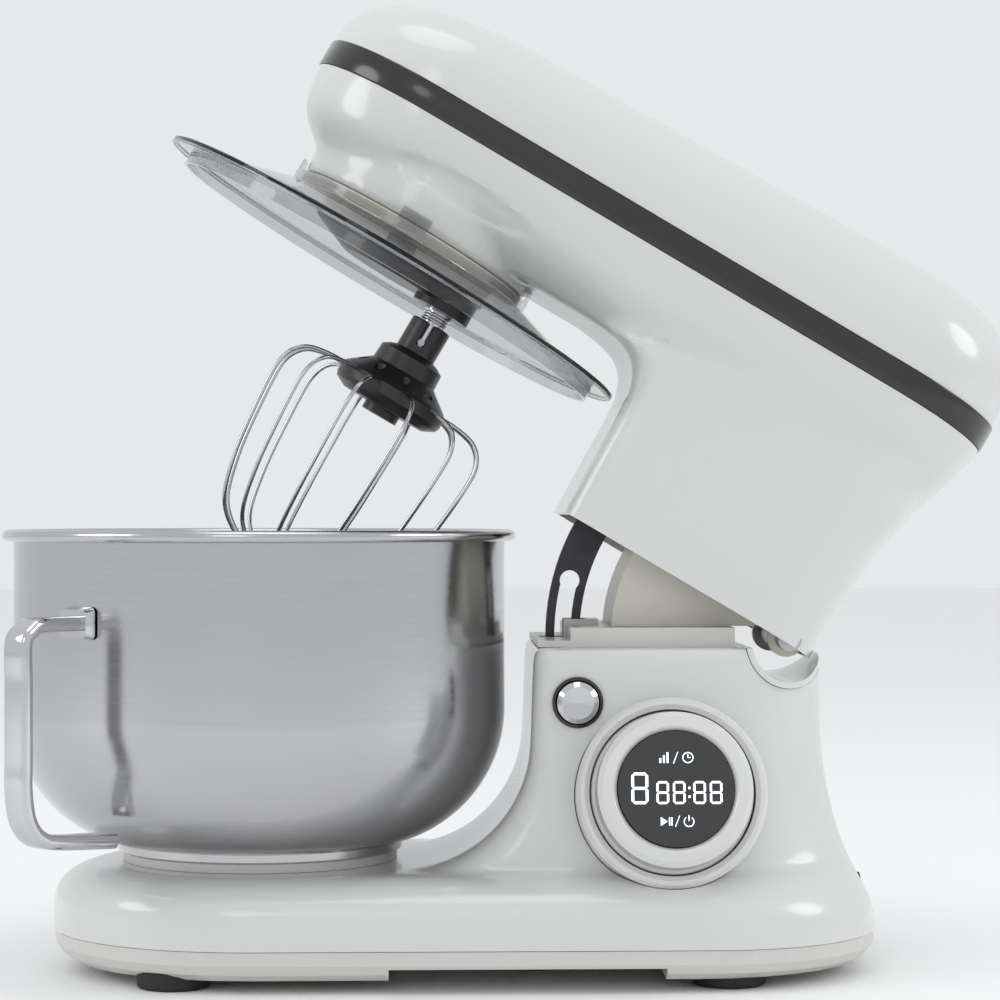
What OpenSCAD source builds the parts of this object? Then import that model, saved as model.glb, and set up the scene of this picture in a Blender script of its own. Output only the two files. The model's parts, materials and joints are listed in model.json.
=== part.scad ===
// Stand mixer with a tilting head, shown with the head raised.
// Origin: on the standing surface, under the axis of the bowl. +X runs to the rear, +Z up.
// The dial is on the -Y side. Head pieces are drawn level, then turned about the hinge.

/* [Bowl] */
// Outside radius of the bowl's straight wall
bowl_r = 107.5; // [90:0.5:130]
// Thickness of the bowl's steel sheet
bowl_wall = 0.9; // [0.6:0.1:1.5]
// Radius of the curve between the wall and the flat bottom
bowl_curve_r = 60; // [45:1:75]
// Height of the middle of the rolled rim
bowl_rim_z = 188.6; // [160:0.2:230]
// Radius of the rolled rim's section
rim_roll_r = 2.5; // [1.5:0.1:3.5]
// Direction of the handle, from the front towards the dial side
handle_angle = 50; // [0:1:90]
// Distance of the handle's grip from the bowl's wall
handle_reach = 41; // [34:1:50]
// Width of the handle
handle_w = 13; // [9:0.5:18]

/* [Base] */
// Half of the base's width
base_half = 88; // [74:1:106]
// Distance from the bowl's axis to the front of the base
base_nose = 90; // [76:1:108]
// Height of the joint between the bottom tray and the housing
seam_z = 18.4; // [16:0.2:24]
// Height at which the base's side turns in towards the deck
shoulder_z = 31; // [28:0.5:36]
// Height of the deck that the bowl stands over
deck_z = 47; // [40:0.5:56]
// Wall of the base and column housing
shell_wall = 3; // [2:0.1:3.6]
// Radius of each foot
foot_r = 15.5; // [12:0.5:18.6]

/* [Column] */
// Half of the column's width at its top
col_half = 56; // [50:1:62]
// Height of the column's top edge
col_top_z = 141; // [125:1:170]
// Gap between the bowl's rim and the column
col_gap = 5.8; // [4:0.2:12]

/* [Hinge and latch] */
// Radius of the hinge pin
hinge_pin_r = 5; // [4:0.1:6]
// Angle that the head is raised by
head_angle = 30.5; // [20:0.5:35]
// Radius of the middle of the latch plate's slot, about the hinge
latch_r = 95.5; // [90:0.5:100]
// Radius of the lock pin where it passes the latch plate
lock_pin_r = 3.2; // [2.4:0.1:3.9]
// Radius of the release button's cap
button_r = 8.8; // [7:0.1:10.6]

/* [Head] */
// Half of the head's width at the trim band
head_half = 57; // [54:0.5:64]
// Distance from the hub's axis to the front of the head
head_nose = 73.5; // [68:0.5:84]
// Height of the head's top above the trim band
head_crown = 40; // [32:1:50]
// Height of the trim band
band_h = 12; // [8:0.5:15]
// Wall of the head's two shells
head_wall = 2.6; // [2:0.1:3.2]

/* [Drive] */
// Module of the ring gear and the planet gear
planet_module = 1.5; // [1.4:0.05:1.6]
// Teeth on the ring gear
ring_teeth = 54; // [52:2:56]
// Teeth on the planet gear
planet_teeth = 18; // [16:2:20]
// Radius of the beater shaft
beater_shaft_r = 5; // [4:0.1:6]
// Module of the two spur gears
spur_module = 1.25; // [1.1:0.05:1.3]

/* [Dial] */
// Radius of the display glass
display_r = 24; // [20:0.5:28.8]
// Width of the turning ring round the display
dial_ring_w = 10; // [8:0.5:12]
// Upward tilt of the dial's axis
dial_tilt = 11; // [0:1:14]

/* [Hidden] */

// fits
run_fit = 0.05;
part_gap = 0.3;

// hinge and column
bowl_rim_r = bowl_r + 2 * rim_roll_r;
col_front = bowl_rim_r + col_gap;
hinge_x = col_front + 110.2;
hinge_z = col_top_z + 3;
base_tail = hinge_x + 40.5;
knuckle_r = 15.7;
cradle_r = 18;
cradle_wall = 2.5;
tower_r = 76;
ear_in = 25;
ear_out = 28.5;
ear_r = hinge_pin_r + 3;
boss_out = 41.5;

// base
deck_inset = 25;
tray_z = 5.2;
tray_arch_z = 10.6;
arch_front = 57;
arch_rear = hinge_x - 56.5;
foot_y = 0.68 * base_half;
foot_front_x = -33;
foot_rear_x = hinge_x - 28.5;
foot_h = 7.4;
seat_r = 60;
seat_top = bowl_floor_z() - 1.4;

function bowl_floor_z() = deck_z + 6;

// head, measured from the hinge along X and Z
floor_h = 75;
band_low = 113.3;
band_top = band_low + band_h;
head_floor_z = hinge_z + floor_h;
neck_half = col_half - 3;

// hub stack, heights in the level head
collar_r = 55.5;
skirt_z = head_floor_z - 9;
ring_z = head_floor_z - 8;
gear_w = 9;
planet_offset = planet_module * (ring_teeth - planet_teeth) / 2;
carrier_r = 42;
carrier_z = head_floor_z - 19;
carrier_h = 7;
boss_z = carrier_z - 9;
shaft_end = boss_z - 23;
barrel_top = boss_z - 6.6;
hub_shaft_r = 8;
guard_z = carrier_z - 4;
guard_r = bowl_rim_r - 1;
guard_wall = 1.8;

// drive stack
chassis_z = head_floor_z + 3.4;
belt_z = chassis_z + 7;
belt_w = 8;
spur_z = belt_z + belt_w + 4;
spur_w = 8;
bridge_z = spur_z + spur_w + 3;
wheel_teeth = 57;
pinion_teeth = 15;
idler_x = spur_module * (wheel_teeth + pinion_teeth) / 2;
idler_pulley_r = 28;
motor_pulley_r = 9;
motor_x = idler_x + 120;
stator_z = spur_z + 5;
stator_h = 38;
stator_r = 38;
rotor_r = 21;

// whisk
whisk_top_r = 51;
wire_r = 0.95;
whisk_low = bowl_floor_z() + bowl_wall + 3;

// dial
dial_r = display_r + dial_ring_w;
dial_seat_r = dial_r + 6;
dial_x = hinge_x - 53.3;
dial_y = -(col_half + 34);
dial_z = deck_z + 38.3;
button_x = hinge_x - latch_r * cos(15.6);
button_z = hinge_z - latch_r * sin(15.6);

// ---- helpers ----

function quarter(cx, cy, ax, ay, start, n = 8) =
    [for (i = [0:n]) [cx + ax * cos(start + 90 * i / n), cy + ay * sin(start + 90 * i / n)]];

// Level outline from xf to xr with round corners: f for the front pair, g for the rear pair.
function outline(xf, xr, w, f, g) = concat(
    quarter(xr - g.x, g.y - w, g.x, g.y, -90),
    quarter(xr - g.x, w - g.y, g.x, g.y, 0),
    quarter(xf + f.x, w - f.y, f.x, f.y, 90),
    quarter(xf + f.x, f.y - w, f.x, f.y, 180));

function lift(points, z, slope = 0, pivot = 0) =
    [for (p = points) [p.x, p.y, z + slope * (p.x - pivot)]];

// Closed skin over a list of rings with the same number of points; caps its two ends or joins them.
module skin(rings, joined = false) {
    m = len(rings[0]);
    k_end = joined ? len(rings) - 1 : len(rings) - 2;
    sides = [for (k = [0:k_end], i = [0:m - 1])
        let (a = k * m, b = ((k + 1) % len(rings)) * m, j = (i + 1) % m)
        each [[a + i, b + i, b + j], [a + i, b + j, a + j]]];
    caps = joined ? [] : [[for (i = [0:m - 1]) i],
        [for (i = [m - 1:-1:0]) (len(rings) - 1) * m + i]];
    polyhedron([for (r = rings) each r], concat(sides, caps), convexity = 6);
}

// Puts a piece that is drawn in the level head where it is with the head raised.
module in_head() {
    translate([hinge_x, 0, hinge_z]) rotate([0, head_angle, 0])
        translate([-hinge_x, 0, -hinge_z]) children();
}

// Lays the child's Z axis along +Y, with its origin at the given place.
module along_y(x, y, z) {
    translate([x, y, z]) rotate([-90, 0, 0]) children();
}

module tube(outer, inner, h) {
    difference() {
        cylinder(r = outer, h = h, $fn = 96);
        translate([0, 0, -1]) cylinder(r = inner, h = h + 2, $fn = 96);
    }
}

// Screw with its head at the bottom: z = 0 is the under side of the head.
module screw(r, length) {
    cylinder(r = r, h = length, $fn = 24);
    translate([0, 0, -2 * r * 0.7]) difference() {
        cylinder(r = 2 * r, h = 2 * r * 0.7, $fn = 32);
        translate([0, 0, -0.1]) for (a = [0, 90]) rotate(a)
            translate([-1.3 * r, -0.25 * r, 0]) cube([2.6 * r, 0.5 * r, r * 0.8]);
    }
}

// Involute gear outline. thin takes that much off each tooth's width at the pitch circle.
function inv_deg(a) = tan(a) * 180 / PI - a;
function gear_points(teeth, modul, add, ded, thin) =
    let (rp = teeth * modul / 2, rb = rp * cos(20), ra = rp + add, rf = rp - ded, r0 = max(rb, rf) + 0.01,
        half = function (r) 90 / teeth + inv_deg(20) - inv_deg(acos(rb / r))
            - thin / 2 / rp * 180 / PI,
        n = 4)
    [for (k = [0:teeth - 1]) let (c = 360 * k / teeth) each concat(
        [rf * [cos(c - half(r0)), sin(c - half(r0))]],
        [for (i = [0:n]) let (r = r0 + (ra - r0) * i / n) r * [cos(c - half(r)), sin(c - half(r))]],
        [for (i = [n:-1:0]) let (r = r0 + (ra - r0) * i / n) r * [cos(c + half(r)), sin(c + half(r))]],
        [rf * [cos(c + half(r0)), sin(c + half(r0))]])];

// ---- base and column ----

function inset_at(z) =
    z <= shoulder_z ? 0 : deck_inset * (1 - sqrt(1 - pow(min(1,
        (z - shoulder_z) / (deck_z - shoulder_z)), 2)));
function tail_at(z) = hinge_x + 16.5
    + (base_tail - hinge_x - 16.5) * pow(1 - min(1, max(0,
        (z - shoulder_z + 3) / (col_top_z - shoulder_z))), 3);
// Outline of the base below the deck; t moves it inwards.
function base_ring(z, t = 0) = let (w = base_half - inset_at(z) - t, xr = tail_at(z) - t)
    lift(outline(inset_at(z) + t - base_nose, xr, w, [base_nose - inset_at(z) - t, w - 1],
        [min(75, 1.02 * w), w - 12]), z);

flare_r = 53;
flare_x = col_front - 3.3 - flare_r;
// Outline of the column above the deck.
function col_ring(z, t = 0) =
    let (u = max(0, 1 - (z - deck_z) / (col_top_z - deck_z)),
        drop = max(0, deck_z + flare_r - z),
        xf = flare_x + sqrt(max(9, flare_r * flare_r - drop * drop)) + 3.3 * (1 - u) + t,
        w = col_half + (base_half - deck_inset - 0.3 - col_half) * pow(u, 3) - t,
        c = 8 + 12 * pow(u, 3) - t)
    lift(outline(xf, tail_at(z) - 0.3 * u - t, w, [c, c], [34 + 30 * u, w - 8 - 4 * u]), z);

// Stack of base outlines and of column outlines; t moves them inwards and down.
module housing_solid(t = 0) {
    span = deck_z - shoulder_z;
    rise = col_top_z - deck_z;
    skin([for (z = [t > 0 ? seam_z - 5 : seam_z, shoulder_z, for (u = [0.3, 0.55, 0.76, 0.9, 0.97,
        1]) shoulder_z + u * span])
        [for (q = base_ring(max(z, seam_z), t)) [q.x, q.y, z > seam_z ? z - t : z]]]);
    skin([for (u = [-0.05, 0.01, 0.04, 0.08, 0.14, 0.22, 0.34, 0.5, 0.75, 1])
        [for (q = col_ring(deck_z + max(0, u) * rise, t)) [q.x, q.y, deck_z + u * rise - t]]]);
}

module dial_axis() {
    translate([dial_x, dial_y, dial_z]) rotate([90 - dial_tilt, 0, 0]) children();
}

module latch_opening(half) translate([hinge_x - latch_r - 10, -half, col_top_z - 20]) cube([20,
    2 * half, 50]);

module base_housing() color("white") difference() {
    difference() {
        housing_solid();
        housing_solid(shell_wall);
    }
    // window that the column cap closes
    translate([col_front + 12, -46, col_top_z - 12]) cube([hinge_x - col_front - 35, 92, 20]);
    // trough for the hinge cradle
    along_y(hinge_x, -100, hinge_z) cylinder(r = cradle_r + cradle_wall + part_gap, h = 200, $fn = 96);
    latch_opening(7);
    dial_axis() translate([0, 0, -60]) cylinder(r = dial_seat_r + part_gap, h = 80, $fn = 96);
    along_y(button_x, -col_half - 12, button_z) cylinder(r = button_r + 0.7, h = 30, $fn = 64);
    translate([base_tail - 20, 40, 27]) rotate([0, 90, 0]) cylinder(r = 7 + part_gap, h = 40, $fn = 48);
    translate([0, 0, deck_z - 8]) cylinder(r = seat_r - 8, h = 12, $fn = 96);
}

tray_slots = [for (i = [-3:3]) i * 9];
module base_tray() color("gainsboro") difference() {
    intersection() {
        skin([base_ring_at(tray_z, 9), base_ring_at(tray_z + 3, 4), base_ring_at(tray_z + 7, 1.2),
            base_ring_at(seam_z - part_gap, 0.4)]);
        union() {
            translate([-200, -150, tray_arch_z]) cube([600, 300, 40]);
            translate([-200, -150, 0]) cube([200 + arch_front, 300, 40]);
            translate([arch_rear, -150, 0]) cube([400, 300, 40]);
        }
    }
    skin([base_ring_at(tray_arch_z + 2.5, 5), base_ring_at(seam_z + 2, 3.2)]);
    for (p = foot_places()) translate([p.x, p.y, 0]) cylinder(r = foot_r + part_gap,
        h = foot_h + part_gap, $fn = 64);
    for (p = screw_places()) translate([p.x, p.y, 0]) {
        cylinder(r = 2.1, h = 60, $fn = 24);
        cylinder(r = 4.6, h = tray_arch_z - 1, $fn = 32);
    }
    for (x = tray_slots) translate([arch_front + 58 + x, -25, 0]) cube([3, 50, 40]);
}
function base_ring_at(z, t) = [for (p = base_ring(seam_z, t)) [p.x, p.y, z]];
function foot_places() = [for (x = [foot_front_x, foot_rear_x], s = [-1, 1]) [x, s * foot_y]];
function screw_places() =
    [for (x = [-62, arch_front - 12, arch_rear + 12, hinge_x + 16], s = [-1, 1]) [x, s * 0.3 * base_half]];

module base_screws() color("silver")
    for (p = screw_places()) translate([p.x, p.y, tray_arch_z - 1]) screw(1.9, 7.5);

module foot(p) color("black") translate([p.x, p.y, 0]) rotate_extrude($fn = 72)
    polygon([[0, 0], [foot_r - 1.5, 0], [foot_r - 0.4, 0.5], [foot_r, 1.6], [foot_r, foot_h], [0, foot_h]]);
module foot_front_right() foot(foot_places()[0]);
module foot_front_left() foot(foot_places()[1]);
module foot_rear_right() foot(foot_places()[2]);
module foot_rear_left() foot(foot_places()[3]);

module bowl_seat() color("whitesmoke") difference() {
    translate([0, 0, deck_z + 0.1]) rotate_extrude($fn = 120)
        polygon([[0, 0], [seat_r, 0], [seat_r, seat_top - deck_z - 1], [seat_r - 0.8,
            seat_top - deck_z - 0.1],
            [seat_r - 5, seat_top - deck_z - 0.1], [seat_r - 6, 2], [0, 2]]);
    for (a = [0:120:359]) rotate(a + 20) translate([seat_r - 12, -9, deck_z - 1]) cube([6.5, 18, 10]);
}

// Cap on the column: a plateau with a lip in front, and the slot for the latch plate.
module column_cap() color("white") difference() {
    union() {
        translate([col_front + 12.3, -45.7, col_top_z - 6]) cube([hinge_x - col_front - 35.6, 91.4, 6.2]);
        translate([col_front + 2, -44, col_top_z + 0.1]) cube([16, 88, 2.7]);
        translate([col_front + 16, -44, col_top_z + 0.1]) cube([hinge_x - col_front - 40, 88, 8.2]);
        translate([col_front + 15, -9.5, col_top_z + 0.1]) cube([15, 19, 10.6]);
    }
    translate([col_front + 14.3, -43.5, col_top_z - 12])
        cube([hinge_x - col_front - 39.6, 87, 14]);
    latch_opening(6.5);
}

module hinge_cradle() color("white") intersection() {
    along_y(hinge_x, -100, hinge_z) tube(cradle_r + cradle_wall, cradle_r, 200);
    skin([[for (p = col_ring(col_top_z, 0.05)) [p.x, p.y, col_top_z - 30]], col_ring(col_top_z, 0.05)]);
}

// Curved guard and the two ears that carry the hinge pin.
module hinge_tower() color("whitesmoke") difference() {
    union() {
        intersection() {
            along_y(hinge_x, -ear_out, hinge_z) tube(tower_r, tower_r - 2.6, 2 * ear_out);
            translate([hinge_x - 100, -50, col_top_z + 8.4]) cube([100 - 62 + 24, 100, 44]);
        }
        for (s = [-1, 1]) translate([0, s > 0 ? ear_in : -ear_out, 0]) ear_plate();
    }
    along_y(hinge_x, -60, hinge_z) cylinder(r = hinge_pin_r, h = 120, $fn = 64);
}
module ear_plate() {
    h = ear_out - ear_in;
    intersection() {
        along_y(hinge_x, 0, hinge_z) cylinder(r = tower_r - 1, h = h, $fn = 96);
        translate([hinge_x - 74, -1, col_top_z + 8.4]) cube([80, h + 2, 50]);
        along_y(hinge_x - 40, 0, hinge_z) cylinder(r = 56, h = h, $fn = 96);
    }
    along_y(hinge_x, 0, hinge_z) cylinder(r = ear_r, h = h, $fn = 64);
}
module hinge_pin() color("silver") along_y(hinge_x, -boss_out, hinge_z)
    cylinder(r = hinge_pin_r, h = 2 * boss_out, $fn = 64);

// ---- release button ----

module release_button() color("silver") along_y(button_x, -col_half - 4.5, button_z) difference() {
    rotate_extrude($fn = 72) polygon([[0, 0.4], [button_r - 2, 0], [button_r, 1.4], [button_r, 12], [0,
        12]]);
    translate([0, 0, 4]) tube(button_r - 1.6, 4.2, 20);
}
module button_bezel() color("gray") along_y(button_x, -col_half - 2.1, button_z) {
    rotate_extrude($fn = 72) polygon([[button_r + 0.2, 1], [button_r + 0.7, 0], [button_r + 2, 0.6],
        [button_r + 2, 1.4], [button_r + 0.6, 1.4], [button_r + 0.6, 7], [button_r + 0.2, 7]]);
}
module lock_pin() color("silver") along_y(button_x, -col_half + 7.6, button_z) {
    cylinder(r = 4.1, h = col_half - 7.6 - 16, $fn = 48);
    translate([0, 0, 1]) cylinder(r = lock_pin_r, h = col_half + 8 - 7.6, $fn = 48);
    translate([0, 0, col_half - 7.6 - 16 - 4]) cylinder(r = 7, h = 2, $fn = 48);
}
// Return spring, drawn as a coil of rings round the lock pin.
module button_spring() color("silver") along_y(button_x, -col_half + 12, button_z) spring_coil(5.6,
    0.6, 7, 3.4);
module spring_coil(r, wire, turns, pitch) for (i = [0:turns - 1]) translate([0, 0, i * pitch + wire])
    rotate_extrude($fn = 48) translate([r, 0]) circle(r = wire, $fn = 14);

// ---- dial ----

module dial_seat() color("white") dial_axis() difference() {
    translate([0, 0, -38]) rotate_extrude($fn = 120) polygon([[dial_seat_r - 4.5, 0], [dial_seat_r, 0],
        [dial_seat_r, 19], [dial_seat_r - 1.5, 21], [dial_seat_r - 3.2, 21.6],
        [dial_r + 0.8, 20.4], [dial_r + 0.8, 9], [12, 9], [12, 6.5], [dial_seat_r - 4.5, 6.5]]);
}
module dial_ring() color("white") dial_axis() translate([0, 0, -28]) rotate_extrude($fn = 120)
    polygon([[display_r + 0.4, 4], [display_r + 0.4, 25.4], [display_r + 2, 26.6], [dial_r - 4, 25.6],
        [dial_r - 1.8, 23.6], [dial_r - 1.2, 12], [dial_r, 9.5], [dial_r, 0.5], [dial_r - 2.5, 0.5],
        [dial_r - 2.5, 4]]);
module display_glass() color("black") dial_axis() {
    translate([0, 0, -3.4]) cylinder(r = display_r, h = 2, $fn = 120);
    translate([0, 0, -13.3]) cylinder(r = display_r - 2, h = 10.3, $fn = 96);
}
module digit(w, h, t) for (i = [0:2]) translate([-w / 2 + t, (i - 1) * (h - t) / 2 - t / 2, 0])
    cube([w - 2 * t, t, 0.2]);
module digit_sides(w, h, t) for (sx = [-1, 1], sy = [-1, 1])
    translate([sx * (w - t) / 2 - t / 2, sy > 0 ? t / 2 + 0.1 : -(h - t) / 2 - 0.1, 0]) cube([t,
        (h - 2 * t) / 2, 0.2]);
module figure_8(w, h, t) {
    digit(w, h, t);
    digit_sides(w, h, t);
}
module display_digits() color("white") dial_axis() translate([0, 0, -1.35]) {
    translate([-15.2, 0, 0]) figure_8(7, 13, 1.1);
    for (x = [-6.2, 1.2, 10.2, 17.6]) translate([x * 0.98, -1.8, 0]) figure_8(5, 9, 0.9);
    for (y = [-3.6, 0.6]) translate([5.6, y, 0]) cube([0.9, 0.9, 0.2]);
}
module display_board() color("green") dial_axis() translate([0, 0, -15]) tube(display_r - 4, 3, 1.6);
module encoder() color("dimgray") dial_axis() {
    translate([0, 0, -28.9]) tube(display_r - 1, 6, 4.2);
    translate([0, 0, -34]) cylinder(r = 7, h = 18.9, $fn = 48);
}

module control_board() color("darkgreen") translate([hinge_x - 88, -40, tray_arch_z + 8]) {
    cube([70, 80, 1.6]);
    for (p = [[12, 12], [12, 60], [52, 16]]) translate([p.x, p.y, 1.7]) cylinder(r = 7, h = 16, $fn = 40);
    translate([30, 30, 1.7]) cube([16, 22, 13]);
    for (p = [[5, 5], [65, 5], [5, 75], [65, 75]]) translate([p.x, p.y, -4.9]) cylinder(r = 2.5,
        h = 4.8, $fn = 24);
}

module power_gland() color("black") translate([tail_at(27) - 8, 40, 27]) rotate([0, 90, 0]) difference() {
    cylinder(r = 7, h = 10, $fn = 48);
    translate([0, 0, -1]) cylinder(r = 3.6, h = 20, $fn = 48);
}

// ---- bowl ----

function bowl_profile(g) = let (r = bowl_r - g, c = bowl_curve_r - g, z0 = bowl_floor_z() + g,
    cx = bowl_r - bowl_curve_r, n = 14)
    concat([[0, z0]], [for (i = [0:n]) let (a = -90 + 90 * i / n)
        [cx + c * cos(a), bowl_floor_z() + bowl_curve_r + c * sin(a)]], [[r, bowl_rim_z]]);
module bowl_outer(grow = 0) rotate_extrude($fn = 144) polygon(concat(bowl_profile(-grow), [[0,
    bowl_rim_z]]));
module bowl() color("silver") {
    inner = bowl_profile(bowl_wall);
    rotate_extrude($fn = 144)
        polygon(concat(bowl_profile(0), [for (i = [len(inner) - 1:-1:0]) inner[i]]));
    translate([0, 0, bowl_rim_z]) rotate_extrude($fn = 144) difference() {
        translate([bowl_r + rim_roll_r - bowl_wall / 2, 0]) circle(r = rim_roll_r, $fn = 32);
        translate([bowl_r + rim_roll_r - bowl_wall / 2, 0]) circle(r = rim_roll_r - 0.8, $fn = 32);
    }
    // foot ring
    difference() {
        rotate_extrude($fn = 120) polygon([[seat_r - 4, seat_top + 0.1], [seat_r + 2.4, seat_top + 0.1],
            [seat_r + 2.4, bowl_floor_z() + 3], [seat_r - 4, bowl_floor_z() + 3]]);
        bowl_outer(-0.2);
    }
}

module handle_loop(d) {
    reach = bowl_r + handle_reach - 7;
    top_z = bowl_rim_z - 38;
    low_z = bowl_floor_z() + 15;
    hull() {
        for (p = [[reach - 12, top_z - 12, 12], [reach - 12, top_z - 40, 12], [reach - 16, low_z + 14, 14],
            [bowl_r - 30, low_z + 6, 6], [bowl_r - 10, top_z - 8, 8]])
            translate([p.x, p.y]) circle(r = max(1, p.z + d), $fn = 40);
    }
}
module bowl_handle() color("silver") difference() {
    rotate(180 + handle_angle) rotate([90, 0, 0]) {
        translate([0, 0, -handle_w / 2]) linear_extrude(handle_w) difference() {
            handle_loop(7);
            handle_loop(0);
            translate([0, 0]) square([60, 400]);
        }
        translate([bowl_r - 2, bowl_rim_z - 42, -handle_w / 2 - 1.5]) cube([7, 12, handle_w + 3]);
    }
    bowl_outer(0.1);
}

// ---- head shells ----

// Row of a stack: height above the hinge, front, rear, half width, front corner and rear corner.
function row_ring(row, t = 0, dh = 0) = lift(outline(row[1] + t, row[2] - t, row[3] - t,
    row[4] - [t, t], row[5] - [t, t]), hinge_z + row[0] + dh);

nose = -head_nose;
tail = hinge_x + 34;
neck_front = col_front - 3;
function hull_rows() = [for (q = [[floor_h, 38, 11, 19], [floor_h + 3, 28, 10.5, 15], [floor_h + 7, 18,
    9, 10],
    [floor_h + 13, 10, 7, 5], [floor_h + 22, 3, 4, 1], [band_low, 0, 0, 0]])
    [q[0], nose + q[1], tail - q[2], head_half - q[3], [56 - q[3], head_half - 1 - q[3]],
        [50 - 0.5 * q[3], head_half - 8 - q[3]]]];
function neck_rows() = [
    [-2, neck_front + 1.8, tail - 18.4, neck_half, [9, 9], [34, neck_half - 6]],
    [25, neck_front + 0.8, tail - 17.6, neck_half, [9, 9], [35, neck_half - 6]],
    [floor_h - 23, neck_front, tail - 16, neck_half, [9, 9], [36, neck_half - 6]],
    [floor_h - 13, neck_front - 2.4, tail - 14, neck_half, [9.5, 9.5], [37, neck_half - 6]],
    [floor_h - 7, neck_front - 6, tail - 12.5, neck_half, [11, 11], [38, neck_half - 6]],
    [floor_h - 3.5, neck_front - 11, tail - 12, neck_half, [14, 13], [39, neck_half - 6]],
    [floor_h - 1, neck_front - 20, tail - 11.4, neck_half, [21, 18], [39, neck_half - 6]],
    [floor_h, neck_front - 30, tail - 11.2, neck_half, [30, 24], [40, neck_half - 6]],
    [floor_h + 4, neck_front - 24, tail - 11, neck_half, [34, 30], [40, neck_half - 6]],
    [floor_h + 15, neck_front + 16, tail - 8, neck_half, [38, 44], [40, neck_half - 6]]];

module head_solid() {
    skin([for (row = hull_rows()) row_ring(row)]);
    skin([for (row = neck_rows()) row_ring(row)]);
}
module head_hollow() {
    t = head_wall;
    skin([for (row = hull_rows()) row_ring(row, t, row[0] == band_low ? 1 : t)]);
    skin([for (row = neck_rows()) row_ring(row, t, row[0] < 0 ? -2 : t)]);
}

module level_cylinder(x, z, r, h) translate([x, 0, z]) cylinder(r = r, h = h, $fn = 120);

// Quarter-round knuckle under the rear of the neck, and the two bosses on the hinge pin.
module neck_knuckle() intersection() {
    union() {
        difference() {
            along_y(hinge_x, -neck_half, hinge_z) cylinder(r = knuckle_r, h = 2 * neck_half, $fn = 96);
            along_y(hinge_x, -boss_out + 1.5, hinge_z) cylinder(r = knuckle_r - 3,
                h = 2 * boss_out - 3, $fn = 96);
            translate([hinge_x - 40, -80, hinge_z - 2]) cube([80, 160, 40]);
            translate([hinge_x - 42, -80, hinge_z - 40]) cube([38, 160, 80]);
        }
        for (s = [-1, 1]) along_y(hinge_x, s > 0 ? ear_out + part_gap : -boss_out - 1, hinge_z)
            cylinder(r = 11, h = boss_out + 1 - ear_out - part_gap, $fn = 64);
    }
    skin([for (dh = [-28, 12]) row_ring(neck_rows()[0], 0, dh)]);
}

// Cheeks inside the neck that hold the latch plate, with a rounded end each.
module latch_cheek(y) {
    translate([neck_front + 1, y, hinge_z + 0.6]) cube([17, 4.2, 12]);
    along_y(hinge_x - latch_r + 1.1, y, hinge_z - 1.5) cylinder(r = 5, h = 4.2, $fn = 48);
}

module head_lower_shell() color("white") in_head() difference() {
    union() {
        difference() {
            head_solid();
            head_hollow();
        }
        neck_knuckle();
        for (y = [-5.9, 1.7]) latch_cheek(y);
        for (p = cover_screws()) translate([p.x, p.y, hinge_z + band_low - 12.9]) cylinder(r = 5,
            h = 12.8, $fn = 40);
        // collar that the guard clips to
        level_cylinder(0, head_floor_z - 5, collar_r, 16);
    }
    level_cylinder(0, head_floor_z - 10, carrier_r + 4.3, 40);
    // way through the collar for the chassis and the first pulley
    translate([20, -36, chassis_z - part_gap]) cube([60, 72, 20]);
    along_y(hinge_x, -60, hinge_z) cylinder(r = hinge_pin_r + run_fit, h = 120, $fn = 64);
    for (p = cover_screws()) translate([p.x, p.y, hinge_z + band_low - 15]) cylinder(r = 1.6, h = 30,
        $fn = 24);
}

module head_top_shell() color("white") in_head() crown_skin();
// Outline of the top shell at u, from 0 at the trim band to 1 at the crown.
function crown_ring(u, t) =
    let (s = pow(1 - pow(u, 2.5), 1 / 2.5), w = (head_half - 0.4) * s - t, d = head_half - 0.4 - w)
    lift(outline(nose + 0.4 + 1.35 * d - 0.35 * t, tail - 0.4 - 1.1 * d + 0.1 * t, w,
        [max(6, 56 - 0.35 * d), max(5, w - 1.6)], [max(6, 50 - 0.2 * d), max(5, w - 5.6)]),
        hinge_z + band_top + (head_crown - t) * u, 0.03 * u, 0);
module crown_skin() {
    us = [0, 0.2, 0.4, 0.58, 0.73, 0.84, 0.92, 0.97, 0.993];
    skin(concat([for (i = [len(us) - 2:-1:0]) crown_ring(us[i], head_wall)],
        [for (u = us) crown_ring(u, 0)]));
}

module trim_band() color("dimgray") in_head() {
    row = hull_rows()[5];
    skin([for (q = [[0.3, -0.25], [band_h - 0.3, -0.25], [band_h - 0.3, 1.9], [0.3,
        1.9]]) row_ring(row, q[1], q[0])],
        joined = true);
}

function cover_screws() = [for (p = [[-46.7, 19.3], [hinge_x + 8.6, 18.4]], s = [-1, 1]) [p.x,
    s * (head_half - p.y)]];
module head_screws() color("silver") in_head()
    for (p = cover_screws()) translate([p.x, p.y, hinge_z + band_low - 13]) screw(1.5, 12);

// Latch plate: a strip bent round the hinge, with a slot that ends in a round hole at each end.
lock_from = 195.6;
lock_to = lock_from + head_angle;
module latch_plate() color("dimgray") in_head() along_y(hinge_x, -1.5,
    hinge_z) linear_extrude(3) difference() {
    polygon(concat([for (a = [172:3:lock_to + 9]) (latch_r + 7.5) * [cos(a), -sin(a)]],
        [for (a = [floor((lock_to + 9 - 172) / 3) * 3 + 172:-3:172]) (latch_r - 7.5) * [cos(a), -sin(a)]]));
    polygon(concat([for (i = [0:12]) let (a = lock_from + head_angle * i / 12) (latch_r + 3.6)
        * [cos(a), -sin(a)]],
        [for (i = [12:-1:0]) let (a = lock_from + head_angle * i / 12) (latch_r - 3.6) * [cos(a),
            -sin(a)]]));
    for (a = [lock_from, lock_to]) translate(latch_r * [cos(a), -sin(a)]) circle(r = 4.4, $fn = 40);
}

// ---- hub ----

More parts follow.
